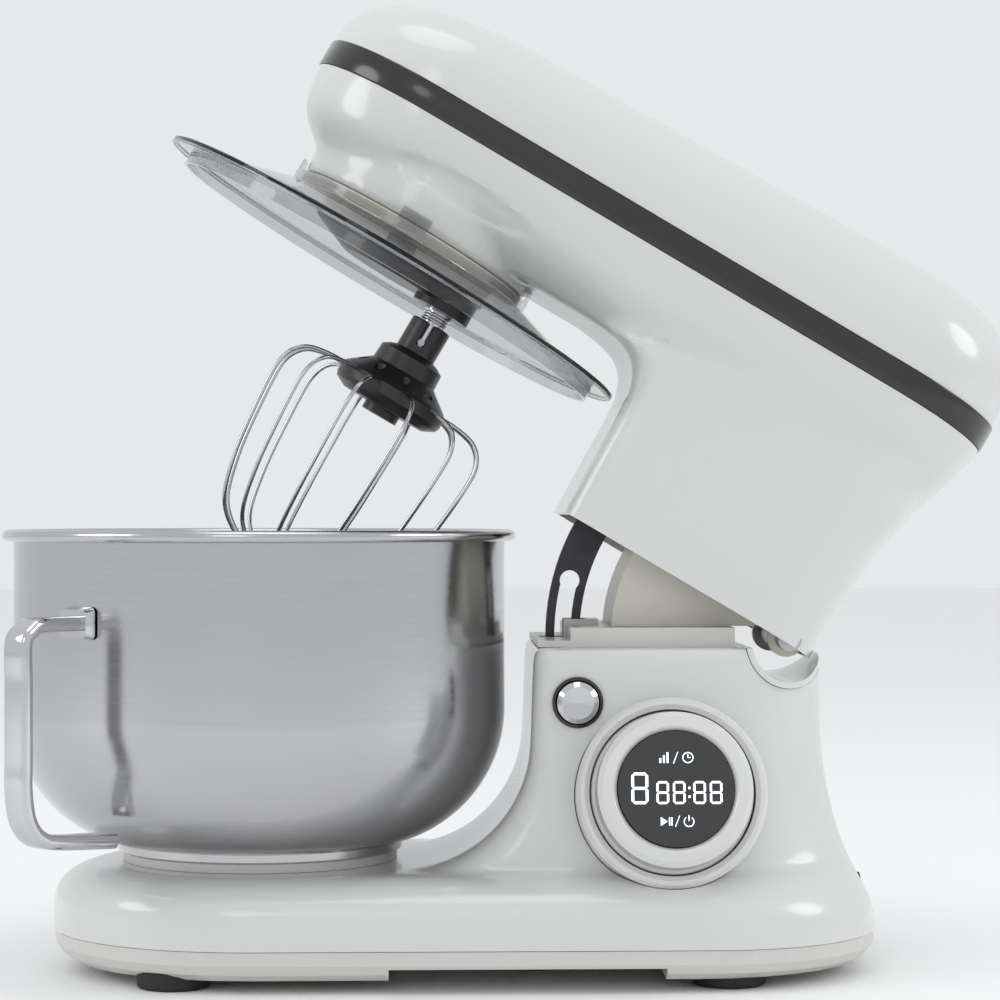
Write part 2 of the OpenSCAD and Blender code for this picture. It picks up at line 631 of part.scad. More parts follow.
module hub_skirt() color("ivory") in_head() difference() {
    translate([0, 0, skirt_z]) {
        tube(collar_r - 0.6, collar_r - 2.6, 3.9);
        translate([0, 0, 2.2]) tube(collar_r - 2, carrier_r + 4.6, 1.7);
        translate([0, 0, -2.6]) tube(carrier_r + 4.6, carrier_r + 2.6, 3.5);
        for (a = [0:20:359]) rotate(a) translate([carrier_r + 4.5, -0.6,
            -0.4]) cube([collar_r - carrier_r - 7, 1.2, 3]);
    }
}
module ring_gear() color("dimgray") in_head() translate([0, 0,
    ring_z]) linear_extrude(gear_w) difference() {
    circle(r = carrier_r + 4, $fn = 144);
    polygon(gear_points(ring_teeth, planet_module, 1.2 * planet_module, planet_module, -0.15));
}
module planet_gear() color("gray") in_head() translate([planet_offset, 0, ring_z + 0.4]) difference() {
    linear_extrude(gear_w - 0.8) polygon(gear_points(planet_teeth, planet_module, 0.95 * planet_module,
        1.2 * planet_module, 0.15));
    translate([0, 0, -1]) cylinder(r = beater_shaft_r, h = 20, $fn = 64);
}
module carrier() color("black") in_head() difference() {
    union() {
        translate([0, 0, carrier_z]) rotate_extrude($fn = 120) polygon([[0, -6], [24, -6],
            [carrier_r - 3, 0], [carrier_r, 1.5],
            [carrier_r, carrier_h - 1], [carrier_r - 1, carrier_h], [0, carrier_h]]);
        translate([planet_offset, 0, boss_z]) cylinder(r = 13.5, h = 12, $fn = 72);
    }
    translate([planet_offset, 0, boss_z - 5]) cylinder(r = beater_shaft_r + run_fit, h = 60, $fn = 64);
    translate([0, 0, carrier_z]) cylinder(r = hub_shaft_r - 2, h = 60, $fn = 64);
}
module carrier_shaft() color("silver") in_head() translate([0, 0, carrier_z]) {
    cylinder(r = hub_shaft_r - 2, h = carrier_h + 0.2, $fn = 64);
    translate([0, 0, carrier_h + 0.1]) cylinder(r = hub_shaft_r,
        h = bridge_z + 4 - carrier_z - carrier_h, $fn = 64);
}
module drive_gear() color("ivory") in_head() translate([0, 0, spur_z]) difference() {
    union() {
        linear_extrude(spur_w) polygon(gear_points(wheel_teeth, spur_module, 0.95 * spur_module,
            1.2 * spur_module, 0.12));
        translate([0, 0, -3]) cylinder(r = 14, h = 4, $fn = 64);
    }
    translate([0, 0, -5]) cylinder(r = hub_shaft_r, h = 30, $fn = 64);
    for (a = [30:60:359]) rotate(a) translate([24, 0, -1]) cylinder(r = 5.5, h = 20, $fn = 40);
}
module beater_shaft() color("silver") in_head() translate([planet_offset, 0, shaft_end]) {
    difference() {
        cylinder(r = beater_shaft_r, h = ring_z + gear_w - shaft_end, $fn = 64);
        along_y(0, -20, 7) cylinder(r = 1.5, h = 40, $fn = 32);
    }
}
module cross_pin() color("silver") in_head() along_y(planet_offset, -8,
    shaft_end + 7) cylinder(r = 1.5, h = 16, $fn = 32);
module beater_spring() color("silver") in_head() translate([planet_offset, 0,
    boss_z - 0.1]) rotate([180, 0, 0]) {
    tube(6.7, beater_shaft_r + 0.1, 1.2);
    translate([0, 0, 1.3]) spring_coil(beater_shaft_r + 0.9, 0.6, 3, 1.5);
}

// ---- drive ----

module chassis() color("silver") in_head() difference() {
    union() {
        level_cylinder(0, chassis_z, carrier_r + 3.8, 3);
        translate([20, -32, chassis_z]) cube([motor_x, 64, 3]);
        translate([motor_x - 62, -43, chassis_z]) cube([100, 86, 3]);
        level_cylinder(0, chassis_z, 20, 5);
        for (p = bridge_posts()) translate([p.x, p.y, chassis_z]) cylinder(r = 3,
            h = bridge_z - chassis_z, $fn = 32);
    }
    level_cylinder(0, chassis_z - 5, 16.05, 20);
    level_cylinder(idler_x, chassis_z - 5, 4.05, 20);
    level_cylinder(motor_x, chassis_z - 5, motor_pulley_r + 4, 20);
}
function bridge_posts() = [for (s = [-1, 1]) each [[0, s * (carrier_r - 0.2)], [idler_x + 36, s * 29]]];
module gear_bridge() color("silver") in_head() difference() {
    union() {
        translate([-20, -46, bridge_z + 0.1]) cube([40, 92, 4]);
        translate([-20, -20, bridge_z + 0.1]) cube([idler_x + 60, 40, 4]);
        translate([idler_x + 26, -40, bridge_z + 0.1]) cube([16, 80, 4]);
    }
    level_cylinder(0, bridge_z - 5, hub_shaft_r + run_fit, 20);
    level_cylinder(idler_x, bridge_z - 5, 4.05, 20);
}
module hub_bearings() color("silver") in_head() translate([0, 0, chassis_z]) tube(16,
    hub_shaft_r + run_fit, 5.4);
module idler_shaft() color("silver") in_head() level_cylinder(idler_x, chassis_z, 4,
    bridge_z + 4 - chassis_z);
module idler_pulley() color("dimgray") in_head() difference() {
    union() {
        level_cylinder(idler_x, belt_z, idler_pulley_r, belt_w);
        level_cylinder(idler_x, belt_z - 1.2, idler_pulley_r + 3, 1.3);
        translate([idler_x, 0, belt_z + belt_w]) cylinder(r = 8, h = 4, $fn = 48);
        translate([idler_x, 0, spur_z]) linear_extrude(spur_w + 0.6)
            polygon(gear_points(pinion_teeth, spur_module, 0.95 * spur_module, 1.2 * spur_module, 0.12));
    }
    level_cylinder(idler_x, belt_z - 5, 4, 60);
}
module drive_belt() color("black") in_head() translate([0, 0,
    belt_z + 0.4]) linear_extrude(belt_w - 0.8) difference() {
    belt_path(2.4);
    belt_path(part_gap);
}
module belt_path(d) hull() {
    translate([idler_x, 0]) circle(r = idler_pulley_r + d, $fn = 96);
    translate([motor_x, 0]) circle(r = motor_pulley_r + d, $fn = 64);
}
module motor_stator() color("gray") in_head() difference() {
    level_cylinder(motor_x, stator_z, stator_r, stator_h);
    level_cylinder(motor_x, stator_z - 1, rotor_r + 0.6, stator_h + 2);
    for (a = [0:90:359]) translate([motor_x, 0, stator_z - 1]) rotate(a + 45)
        translate([rotor_r - 3, -6, 0]) cube([12, 12, stator_h + 2]);
}
module motor_bracket() color("silver") in_head() {
    difference() {
        union() {
            translate([motor_x - 36, -9, chassis_z + 15.8]) cube([72, 18, 3]);
            for (s = [-1, 1]) translate([motor_x + s * 33, 0, chassis_z + 3.1]) cylinder(r = 4,
                h = stator_z - chassis_z - 3.2, $fn = 32);
        }
        level_cylinder(motor_x, chassis_z, 4.05, 40);
    }
    difference() {
        union() {
            translate([motor_x - 37, -9, stator_z + stator_h + 10]) cube([74, 18, 3]);
            translate([motor_x - 6, -28.5, stator_z + stator_h + 10]) cube([12, 57, 3]);
            for (s = [-1, 1]) translate([motor_x + s * 34, 0,
                stator_z + stator_h + 0.1]) cylinder(r = 3, h = 11, $fn = 32);
        }
        level_cylinder(motor_x, stator_z, 4.05, 90);
    }
}
module motor_brushes() color("darkgoldenrod") in_head() for (s = [-1, 1])
    translate([motor_x - 4, s > 0 ? 12.5 : -28.5, stator_z + stator_h + 2]) cube([8, 16, 7.9]);
module rotor_core() color("dimgray") in_head() {
    translate([motor_x, 0, stator_z + 1]) tube(rotor_r, 4, stator_h - 3);
    translate([motor_x, 0, stator_z + stator_h + 1]) tube(12, 4, 8);
}
module motor_shaft() color("silver") in_head()
    level_cylinder(motor_x, belt_z - 1, 4, stator_z + stator_h + 20 - belt_z);
module motor_fan() color("black") in_head() translate([motor_x, 0, stator_z + stator_h + 14]) {
    tube(8, 4, 5);
    difference() {
        cylinder(r = 30, h = 1, $fn = 96);
        translate([0, 0, -1]) cylinder(r = 7.5, h = 5, $fn = 64);
    }
    for (a = [0:40:359]) rotate(a) translate([10, -0.6, 0.5]) cube([19, 1.2, 4.5]);
}
module motor_pulley() color("dimgray") in_head() translate([motor_x, 0, belt_z]) tube(motor_pulley_r,
    4, belt_w);

// ---- tools ----

module splash_guard() color([0.75, 0.78, 0.8, 0.4]) in_head() {
    rise = skirt_z - guard_z - 1;
    translate([0, 0, guard_z]) rotate_extrude($fn = 144) polygon([
        [guard_r - 11, -6.2], [guard_r - 9.5, -6.2], [guard_r - 9.5, 0], [guard_r - 1.2, 0],
            [guard_r - 1.2, -1],
        [guard_r, -0.6], [guard_r, guard_wall - 0.5], [guard_r - 1, guard_wall], [guard_r - 15, guard_wall],
        [collar_r + 3.2, rise], [collar_r + 3.2, rise + 4], [collar_r + 1.4, rise + 4],
        [collar_r + 1.4, rise - 1.2], [guard_r - 17, 0], [guard_r - 11, 0]]);
    for (a = [0:90:359]) rotate(a) intersection() {
        translate([0, 0, guard_z + rise + 3.5]) tube(collar_r + 3, collar_r + 1.4, 6.1);
        translate([20, -7, guard_z]) cube([60, 14, 60]);
    }
}

module whisk_hub() color("black") in_head() translate([planet_offset, 0, 0]) difference() {
    union() {
        translate([0, 0, barrel_top]) rotate_extrude($fn = 96) polygon([[0, -46.5], [8.5, -46.5], [8.5,
            -43], [20, -42.6],
            [25, -40], [26, -38], [26, -33], [24.5, -31.5], [15.4, -24.5], [15, -17.5], [12, -15.6],
                [9.25, -14.6],
            [9.25, -0.6], [8.6, 0], [0, 0]]);
    }
    translate([0, 0, barrel_top - 18]) cylinder(r = beater_shaft_r + 0.1, h = 30, $fn = 64);
    // slot for the cross pin, with its sideways leg
    translate([-1.9, -20, shaft_end + 5.1]) cube([3.8, 40, 60]);
    for (a = [0:40:359]) rotate(a) translate([19.5, 0, barrel_top - 34]) cylinder(r = 2.2, h = 12,
        $fn = 24);
}

// One loop of the whisk as a list of points: out of the hub, round and back.
wire_count = 6;
function wire_points() = let (top = barrel_top - 33.6, low = whisk_low, r = whisk_top_r) [
    [24, top], [35, top - 0.6], [44, top - 3], [49.4, top - 9], [r, top - 18], [r - 1.4, top - 38],
    [r - 4, (top - 38 + low) / 2 + 8], [r - 9.5, low + 17], [r - 19, low + 7], [r - 32, low + 1.6], [0,
        low]];
module whisk_wires() color("silver") in_head() translate([planet_offset, 0, 0])
    for (k = [0:wire_count - 1]) rotate(180 * k / wire_count + 15) wire_loop(0.9 * k);
module wire_loop(up) {
    half = wire_points();
    n = len(half);
    pts = concat([for (p = half) [p.x, 0, p.y + up * (1 - p.x / whisk_top_r)]],
        [for (i = [n - 2:-1:0]) [-half[i].x, 0, half[i].y + up * (1 - half[i].x / whisk_top_r)]]);
    sides = 8;
    skin([for (i = [0:len(pts) - 1])
        let (a = pts[max(0, i - 1)], b = pts[min(len(pts) - 1, i + 1)], d = (b - a) / norm(b - a),
            q = [-d.z, 0, d.x])
        [for (s = [0:sides - 1]) pts[i] + wire_r * (cos(360 * s / sides) * q + sin(360 * s / sides)
            * [0, 1, 0])]]);
}

base_housing();
base_tray();
base_screws();
foot_front_left();
foot_front_right();
foot_rear_left();
foot_rear_right();
bowl_seat();
column_cap();
hinge_cradle();
hinge_tower();
hinge_pin();
release_button();
button_bezel();
button_spring();
lock_pin();
dial_seat();
dial_ring();
display_glass();
display_digits();
display_board();
encoder();
control_board();
power_gland();
head_lower_shell();
head_top_shell();
trim_band();
head_screws();
latch_plate();
hub_skirt();
ring_gear();
chassis();
gear_bridge();
hub_bearings();
carrier();
carrier_shaft();
drive_gear();
planet_gear();
beater_shaft();
cross_pin();
beater_spring();
idler_shaft();
idler_pulley();
drive_belt();
motor_stator();
motor_bracket();
motor_brushes();
rotor_core();
motor_shaft();
motor_fan();
motor_pulley();
splash_guard();
whisk_hub();
whisk_wires();
bowl();
bowl_handle();
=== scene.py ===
"""Looks of a tilt-head stand mixer: smooth shells, steel bowl, wire whisk, display, finishes and stage."""

import json
import math

import bmesh
import bpy
from bpy.props import FloatProperty, FloatVectorProperty, IntProperty, PointerProperty
from mathutils import Matrix, Vector


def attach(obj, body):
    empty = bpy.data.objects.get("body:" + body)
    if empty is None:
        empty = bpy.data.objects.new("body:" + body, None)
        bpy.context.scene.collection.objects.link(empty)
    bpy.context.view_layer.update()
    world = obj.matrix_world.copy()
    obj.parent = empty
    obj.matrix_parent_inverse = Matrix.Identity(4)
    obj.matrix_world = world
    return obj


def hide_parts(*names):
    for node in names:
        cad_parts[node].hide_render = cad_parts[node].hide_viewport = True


bl_info = {
    "name": "Stand mixer looks",
    "version": (1, 0, 0),
    "blender": (4, 5, 0),
    "location": "3D View > Sidebar > Mixer",
    "description": "Builds the visible pieces and finishes of a tilt-head stand mixer",
    "category": "Add Mesh",
}

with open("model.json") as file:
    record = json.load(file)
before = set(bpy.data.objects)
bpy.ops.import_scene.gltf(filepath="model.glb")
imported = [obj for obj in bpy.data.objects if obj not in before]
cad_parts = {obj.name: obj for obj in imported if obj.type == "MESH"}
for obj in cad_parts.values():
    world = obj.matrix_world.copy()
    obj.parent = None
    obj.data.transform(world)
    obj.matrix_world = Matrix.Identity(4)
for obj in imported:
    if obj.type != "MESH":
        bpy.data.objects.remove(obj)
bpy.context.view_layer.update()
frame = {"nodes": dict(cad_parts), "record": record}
SLOT_OF = {row["node"]: row["material_slot"] for row in frame["record"]["subparts"]}
MM = 0.001

# ---- sizes in millimetres, as in the part's own drawing ----

HINGE_X, HINGE_Z = 228.5, 144.0
HEAD_ANGLE = 30.5
BASE_HALF, BASE_NOSE, SEAM_Z, SHOULDER_Z, DECK_Z = 88.0, 90.0, 18.4, 31.0, 47.0
DECK_INSET = 25.0
COLUMN_HALF, COLUMN_TOP = 56.0, 141.0
BASE_TAIL = HINGE_X + 40.5
COLUMN_FRONT = 118.3
HEAD_NOSE, HEAD_TAIL, HEAD_HALF = -73.5, HINGE_X + 34, 57.0
BAND_LOW, BAND_H, CROWN = HINGE_Z + 113.3, 12.0, 40.0
HEAD_FLOOR = HINGE_Z + 75
NECK_HALF, NECK_FRONT = COLUMN_HALF - 3, COLUMN_FRONT - 3
BOWL_R, BOWL_WALL, BOWL_CURVE, BOWL_FLOOR, BOWL_RIM, RIM_ROLL = 107.5, 0.9, 60.0, 53.0, 188.6, 2.5
HANDLE_ANGLE, HANDLE_W = 50.0, 13.0
BEATER_X, BOSS_Z = 27.0, 191.0
BARREL_TOP = BOSS_Z - 6.6
COLLAR_R, HUB_HOLE_R = 55.5, 46.3
# middle, half length, half height and depth of the recess low on each side of the head
RECESS_X, RECESS_Z, RECESS_LONG, RECESS_HIGH, RECESS_DEEP = 12.0, 235.5, 35.0, 6.2, 1.4
DIAL = Vector((175.2, -90.0, 85.3))
DIAL_TILT = 11.0
BUTTON_X, BUTTON_Z = 136.5, 118.3

RAISE = (
    Matrix.Translation((HINGE_X, 0, HINGE_Z))
    @ Matrix.Rotation(math.radians(HEAD_ANGLE), 4, "Y")
    @ Matrix.Translation((-HINGE_X, 0, -HINGE_Z))
)
DIAL_FACE = Matrix.Translation(DIAL) @ Matrix.Rotation(math.radians(90 - DIAL_TILT), 4, "X")


class MixerLooks(bpy.types.PropertyGroup):
    """Sizes and colours of the mixer's visible pieces."""

    enamel: FloatVectorProperty(
        name="Enamel", description="Colour of the painted housings", subtype="COLOR", size=3,
        default=(0.66, 0.66, 0.655), min=0, max=1,
    )
    trim: FloatVectorProperty(
        name="Trim", description="Colour of the band round the head", subtype="COLOR", size=3,
        default=(0.055, 0.055, 0.055), min=0, max=1,
    )
    guard_tint: FloatVectorProperty(
        name="Guard tint", description="Tint of the clear splash guard", subtype="COLOR", size=3,
        default=(0.66, 0.67, 0.68), min=0, max=1,
    )
    wire_width: FloatProperty(
        name="Wire width", description="Thickness of the whisk's wires", unit="LENGTH", default=0.0019,
        min=0.001,
    )
    wire_count: IntProperty(
        name="Wires", description="Number of wire loops in the whisk", default=6, min=3, max=9,
    )
    shell_wall: FloatProperty(
        name="Shell wall", description="Wall of the moulded housings", unit="LENGTH", default=0.0025,
        min=0.001,
    )
    mesh_step: FloatProperty(
        name="Mesh step", description="Grid size of the smooth housings", unit="LENGTH", default=0.0021,
        min=0.0015,
    )


def looks():
    return bpy.context.scene.mixer_looks


# ---- shader groups and materials ----


def socket(group, name, kind, value=None, out=False):
    made = group.interface.new_socket(name=name, in_out="OUTPUT" if out else "INPUT", socket_type=kind)
    if value is not None:
        made.default_value = value
    return made


def link(tree, pairs):
    for source, target in pairs:
        tree.links.new(source, target)


def surface_group():
    """Gentle change of colour, gloss and height over a moulded, painted or metal surface."""
    name = "surface_variation"
    if name in bpy.data.node_groups:
        return bpy.data.node_groups[name]
    tree = bpy.data.node_groups.new(name, "ShaderNodeTree")
    socket(tree, "Colour", "NodeSocketColor", (0.8, 0.8, 0.8, 1))
    socket(tree, "Tone change", "NodeSocketFloat", 0.03)
    socket(tree, "Patch scale", "NodeSocketFloat", 18.0)
    socket(tree, "Grain scale", "NodeSocketFloat", 900.0)
    socket(tree, "Roughness", "NodeSocketFloat", 0.3)
    socket(tree, "Roughness change", "NodeSocketFloat", 0.08)
    for label, kind in (("Colour", "NodeSocketColor"), ("Roughness", "NodeSocketFloat"),
                        ("Height", "NodeSocketFloat")):
        socket(tree, label, kind, out=True)
    nodes = tree.nodes
    start, end = nodes.new("NodeGroupInput"), nodes.new("NodeGroupOutput")
    coords = nodes.new("ShaderNodeTexCoord")
    patches, grain = nodes.new("ShaderNodeTexNoise"), nodes.new("ShaderNodeTexNoise")
    patches.inputs["Detail"].default_value = 4
    grain.inputs["Detail"].default_value = 3
    tone = nodes.new("ShaderNodeMapRange")
    tone.inputs["From Min"].default_value, tone.inputs["From Max"].default_value = 0.3, 0.7
    darker = nodes.new("ShaderNodeMath")
    darker.operation = "SUBTRACT"
    darker.inputs[0].default_value = 1.0
    mixed = nodes.new("ShaderNodeMix")
    mixed.data_type, mixed.blend_type = "RGBA", "MULTIPLY"
    mixed.inputs["Factor"].default_value = 1.0
    spread = nodes.new("ShaderNodeMath")
    spread.operation = "MULTIPLY_ADD"
    link(tree, [
        (coords.outputs["Object"], patches.inputs["Vector"]),
        (coords.outputs["Object"], grain.inputs["Vector"]),
        (start.outputs["Patch scale"], patches.inputs["Scale"]),
        (start.outputs["Grain scale"], grain.inputs["Scale"]),
        (patches.outputs["Fac"], tone.inputs["Value"]), (start.outputs["Tone change"], darker.inputs[1]),
        (darker.outputs[0], tone.inputs["To Min"]), (start.outputs["Colour"], mixed.inputs["A"]),
        (tone.outputs[0], mixed.inputs["B"]), (mixed.outputs["Result"], end.inputs["Colour"]),
        (grain.outputs["Fac"], spread.inputs[0]), (start.outputs["Roughness change"], spread.inputs[1]),
        (start.outputs["Roughness"], spread.inputs[2]), (spread.outputs[0], end.inputs["Roughness"]),
        (grain.outputs["Fac"], end.inputs["Height"]),
    ])
    return tree


def turned_group():
    """Fine marks that run round the Z axis, as on spun and polished steel."""
    name = "turned_marks"
    if name in bpy.data.node_groups:
        return bpy.data.node_groups[name]
    tree = bpy.data.node_groups.new(name, "ShaderNodeTree")
    socket(tree, "Roughness", "NodeSocketFloat", 0.12)
    socket(tree, "Roughness change", "NodeSocketFloat", 0.12)
    socket(tree, "Mark scale", "NodeSocketFloat", 900.0)
    socket(tree, "Roughness", "NodeSocketFloat", out=True)
    socket(tree, "Height", "NodeSocketFloat", out=True)
    nodes = tree.nodes
    start, end = nodes.new("NodeGroupInput"), nodes.new("NodeGroupOutput")
    coords, split = nodes.new("ShaderNodeTexCoord"), nodes.new("ShaderNodeSeparateXYZ")
    join = nodes.new("ShaderNodeCombineXYZ")
    angle, square, reach = (nodes.new("ShaderNodeMath") for _ in range(3))
    angle.operation, square.operation, reach.operation = "ARCTAN2", "MULTIPLY", "MULTIPLY_ADD"
    slow = nodes.new("ShaderNodeMath")
    slow.operation = "MULTIPLY"
    slow.inputs[1].default_value = 0.004
    noise, spread = nodes.new("ShaderNodeTexNoise"), nodes.new("ShaderNodeMath")
    noise.inputs["Detail"].default_value = 5
    spread.operation = "MULTIPLY_ADD"
    link(tree, [
        (coords.outputs["Object"], split.inputs[0]), (split.outputs["Y"], angle.inputs[0]),
        (split.outputs["X"], angle.inputs[1]), (angle.outputs[0], slow.inputs[0]),
        (slow.outputs[0], join.inputs["X"]),
        (split.outputs["X"], square.inputs[0]), (split.outputs["X"], square.inputs[1]),
        (split.outputs["Y"], reach.inputs[0]), (split.outputs["Y"], reach.inputs[1]),
        (square.outputs[0], reach.inputs[2]),
        (reach.outputs[0], join.inputs["Y"]), (split.outputs["Z"], join.inputs["Z"]),
        (join.outputs[0], noise.inputs["Vector"]), (start.outputs["Mark scale"], noise.inputs["Scale"]),
        (noise.outputs["Fac"], spread.inputs[0]), (start.outputs["Roughness change"], spread.inputs[1]),
        (start.outputs["Roughness"], spread.inputs[2]), (spread.outputs[0], end.inputs["Roughness"]),
        (noise.outputs["Fac"], end.inputs["Height"]),
    ])
    return tree


def new_material(name):
    material = bpy.data.materials.new(name)
    material.use_nodes = True
    return material, material.node_tree, material.node_tree.nodes["Principled BSDF"]


def finish(name, colour, rough, metal=0.0, coat=0.0, tone=0.03, patch=18.0, grain=900.0, change=0.08,
           bump=0.02):
    """A material whose colour, gloss and height come from the shared surface group."""
    material, tree, shader = new_material(name)
    group = tree.nodes.new("ShaderNodeGroup")
    group.node_tree = surface_group()
    group.inputs["Colour"].default_value = (*colour, 1)
    for label, value in (("Tone change", tone), ("Patch scale", patch), ("Grain scale", grain),
                         ("Roughness", rough - change / 2), ("Roughness change", change)):
        group.inputs[label].default_value = value
    bumps = tree.nodes.new("ShaderNodeBump")
    bumps.inputs["Strength"].default_value = bump
    bumps.inputs["Distance"].default_value = 0.0004
    shader.inputs["Metallic"].default_value = metal
    shader.inputs["Coat Weight"].default_value = coat
    shader.inputs["Coat Roughness"].default_value = 0.06
    link(tree, [
        (group.outputs["Colour"], shader.inputs["Base Color"]),
        (group.outputs["Roughness"], shader.inputs["Roughness"]),
        (group.outputs["Height"], bumps.inputs["Height"]),
        (bumps.outputs["Normal"], shader.inputs["Normal"]),
    ])
    return material


def turned_steel(name, colour, rough, change, bump):
    """Steel that was spun on a lathe and polished."""
    material = finish(name, colour, rough, metal=1.0, tone=0.04, patch=9.0, change=0.04)
    tree, shader = material.node_tree, material.node_tree.nodes["Principled BSDF"]
    group = tree.nodes.new("ShaderNodeGroup")
    group.node_tree = turned_group()
    group.inputs["Roughness"].default_value = rough
    group.inputs["Roughness change"].default_value = change
    bumps = next(n for n in tree.nodes if n.type == "BUMP")
    bumps.inputs["Strength"].default_value = bump
    link(tree, [
        (group.outputs["Roughness"], shader.inputs["Roughness"]),
        (group.outputs["Height"], bumps.inputs["Height"]),
    ])
    return material


def clear_plastic(name, tint):
    """Clear moulded plastic with a faint smoke tint, which darkens where it is seen edge on."""
    material, tree, shader = new_material(name)
    kinds = ("ShaderNodeTexNoise", "ShaderNodeTexCoord", "ShaderNodeMapRange")
    noise, coords, ramp = (tree.nodes.new(kind) for kind in kinds)
    noise.inputs["Scale"].default_value = 60
    ramp.inputs["To Min"].default_value, ramp.inputs["To Max"].default_value = 0.03, 0.09
    shader.inputs["Base Color"].default_value = (*tint, 1)
    shader.inputs["Transmission Weight"].default_value = 1.0
    shader.inputs["IOR"].default_value = 1.4
    link(tree, [
        (coords.outputs["Object"], noise.inputs["Vector"]),
        (noise.outputs["Fac"], ramp.inputs["Value"]),
        (ramp.outputs[0], shader.inputs["Roughness"]),
    ])
    return material


def glowing(name, colour, strength):
    """Lit segments behind the display glass."""
    material = finish(name, colour, 0.4)
    shader = material.node_tree.nodes["Principled BSDF"]
    shader.inputs["Emission Color"].default_value = (*colour, 1)
    shader.inputs["Emission Strength"].default_value = strength
    return material


def make_finishes():
    """One material for each slot of the record, and copper for the motor's coils."""
    enamel, trim = tuple(looks().enamel), tuple(looks().trim)
    warm = tuple(c * k for c, k in zip(enamel, (0.97, 0.96, 0.93)))
    return {
        "white_enamel": finish("white_enamel", enamel, 0.24, coat=0.6, tone=0.02, patch=7, grain=260,
            change=0.05),
        "white_plastic": finish("white_plastic", warm, 0.36, coat=0.15, tone=0.03, grain=1400, bump=0.05),
        "ivory_plastic": finish("ivory_plastic", (0.72, 0.7, 0.63), 0.42, tone=0.05, grain=1200, bump=0.06),
        "grey_plastic": finish("grey_plastic", (0.3, 0.3, 0.3), 0.45, tone=0.08, grain=1200, bump=0.08),
        "black_plastic": finish("black_plastic", (0.018, 0.018, 0.02), 0.34, tone=0.15, grain=1500,
            bump=0.06),
        "black_rubber": finish("black_rubber", (0.02, 0.02, 0.02), 0.72, tone=0.25, patch=60, grain=2200,
            bump=0.3),
        "display_black": finish("display_black", (0.004, 0.004, 0.005), 0.06, coat=1.0, tone=0.2,
            change=0.02, bump=0.0),
        "digit_white": glowing("digit_white", (0.85, 0.9, 0.95), 1.1),
        "circuit_green": finish("circuit_green", (0.02, 0.13, 0.05), 0.35, tone=0.35, patch=160, grain=700,
            bump=0.2),
        "dark_trim": finish("dark_trim", trim, 0.2, metal=1.0, coat=0.4, tone=0.12, patch=22, grain=500),
        "polished_steel": turned_steel("polished_steel", (0.52, 0.52, 0.53), 0.09, 0.16, 0.03),
        "plain_steel": turned_steel("plain_steel", (0.5, 0.5, 0.52), 0.28, 0.14, 0.1),
        "chrome": finish("chrome", (0.6, 0.6, 0.62), 0.07, metal=1.0, tone=0.04, change=0.05, bump=0.01),
        "dark_steel": finish("dark_steel", (0.07, 0.07, 0.075), 0.42, metal=0.9, tone=0.25, patch=70,
            bump=0.1),
        "cast_aluminium": finish("cast_aluminium", (0.5, 0.51, 0.52), 0.5, metal=1.0, tone=0.15, grain=1800,
            bump=0.35),
        "brass": finish("brass", (0.6, 0.42, 0.16), 0.34, metal=1.0, tone=0.2),
        "winding_core": finish("winding_core", (0.16, 0.13, 0.12), 0.5, metal=0.7, tone=0.3, patch=120,
            bump=0.2),
        "clear_guard": clear_plastic("clear_guard", tuple(looks().guard_tint)),
        "copper": finish("copper", (0.55, 0.2, 0.09), 0.3, metal=1.0, tone=0.3, patch=200, bump=0.2),
    }


FINISH = {}

# ---- mesh helpers, in millimetres until mesh_piece ----


def smooth_shade(piece, angle=32):
    piece.data.shade_smooth()
    piece.data.set_sharp_from_angle(angle=math.radians(angle))


def mesh_piece(name, points, faces, place=None):
    """A new object in the scene from points in millimetres, with its faces turned outwards."""
    mesh = bpy.data.meshes.new(name)
    mesh.from_pydata([tuple(p) for p in points], [], faces)
    mesh.transform(Matrix.Scale(MM, 4) @ (place or Matrix()))
    work = bmesh.new()
    work.from_mesh(mesh)
    bmesh.ops.remove_doubles(work, verts=work.verts, dist=1e-7)
    bmesh.ops.recalc_face_normals(work, faces=work.faces)
    work.to_mesh(mesh)
    work.free()
    piece = bpy.data.objects.new(name, mesh)
    bpy.context.scene.collection.objects.link(piece)
    return piece


def settle(piece):
    """Turns a piece with modifiers into a plain mesh."""
    evaluated = piece.evaluated_get(bpy.context.evaluated_depsgraph_get())
    mesh = bpy.data.meshes.new_from_object(evaluated)
    piece.modifiers.clear()
    piece.data = mesh
    return piece


def drop(piece):
    bpy.data.objects.remove(piece, do_unlink=True)


def dress(piece, body, slot, nodes=(), angle=32):
    """Last steps of a piece: shading, finish, the body that it rides on and the nodes that it stands for."""
    smooth_shade(piece, angle)
    piece.data.materials.clear()
    piece.data.materials.append(FINISH[slot])
    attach(piece, body)
    if nodes:
        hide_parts(*nodes)


def outline(front, rear, half, f, g, steps):
    """Level outline with round corners: f for the front pair and g for the rear pair."""
    corners = ((rear - g[0], g[1] - half, g, -90), (rear - g[0], half - g[1], g, 0),
               (front + f[0], half - f[1], f, 90), (front + f[0], f[1] - half, f, 180))
    points = []
    for cx, cy, size, start in corners:
        for i in range(steps + 1):
            a = math.radians(start + 90 * i / steps)
            points.append((cx + size[0] * math.cos(a), cy + size[1] * math.sin(a)))
    return points


def skin_faces(rings, count, joined=False):
    faces = []
    for k in range(rings if joined else rings - 1):
        a, b = k * count, (k + 1) % rings * count
        faces += [(a + i, a + (i + 1) % count, b + (i + 1) % count, b + i) for i in range(count)]
    if not joined:
        faces += [tuple(reversed(range(count))), tuple((rings - 1) * count + i for i in range(count))]
    return faces


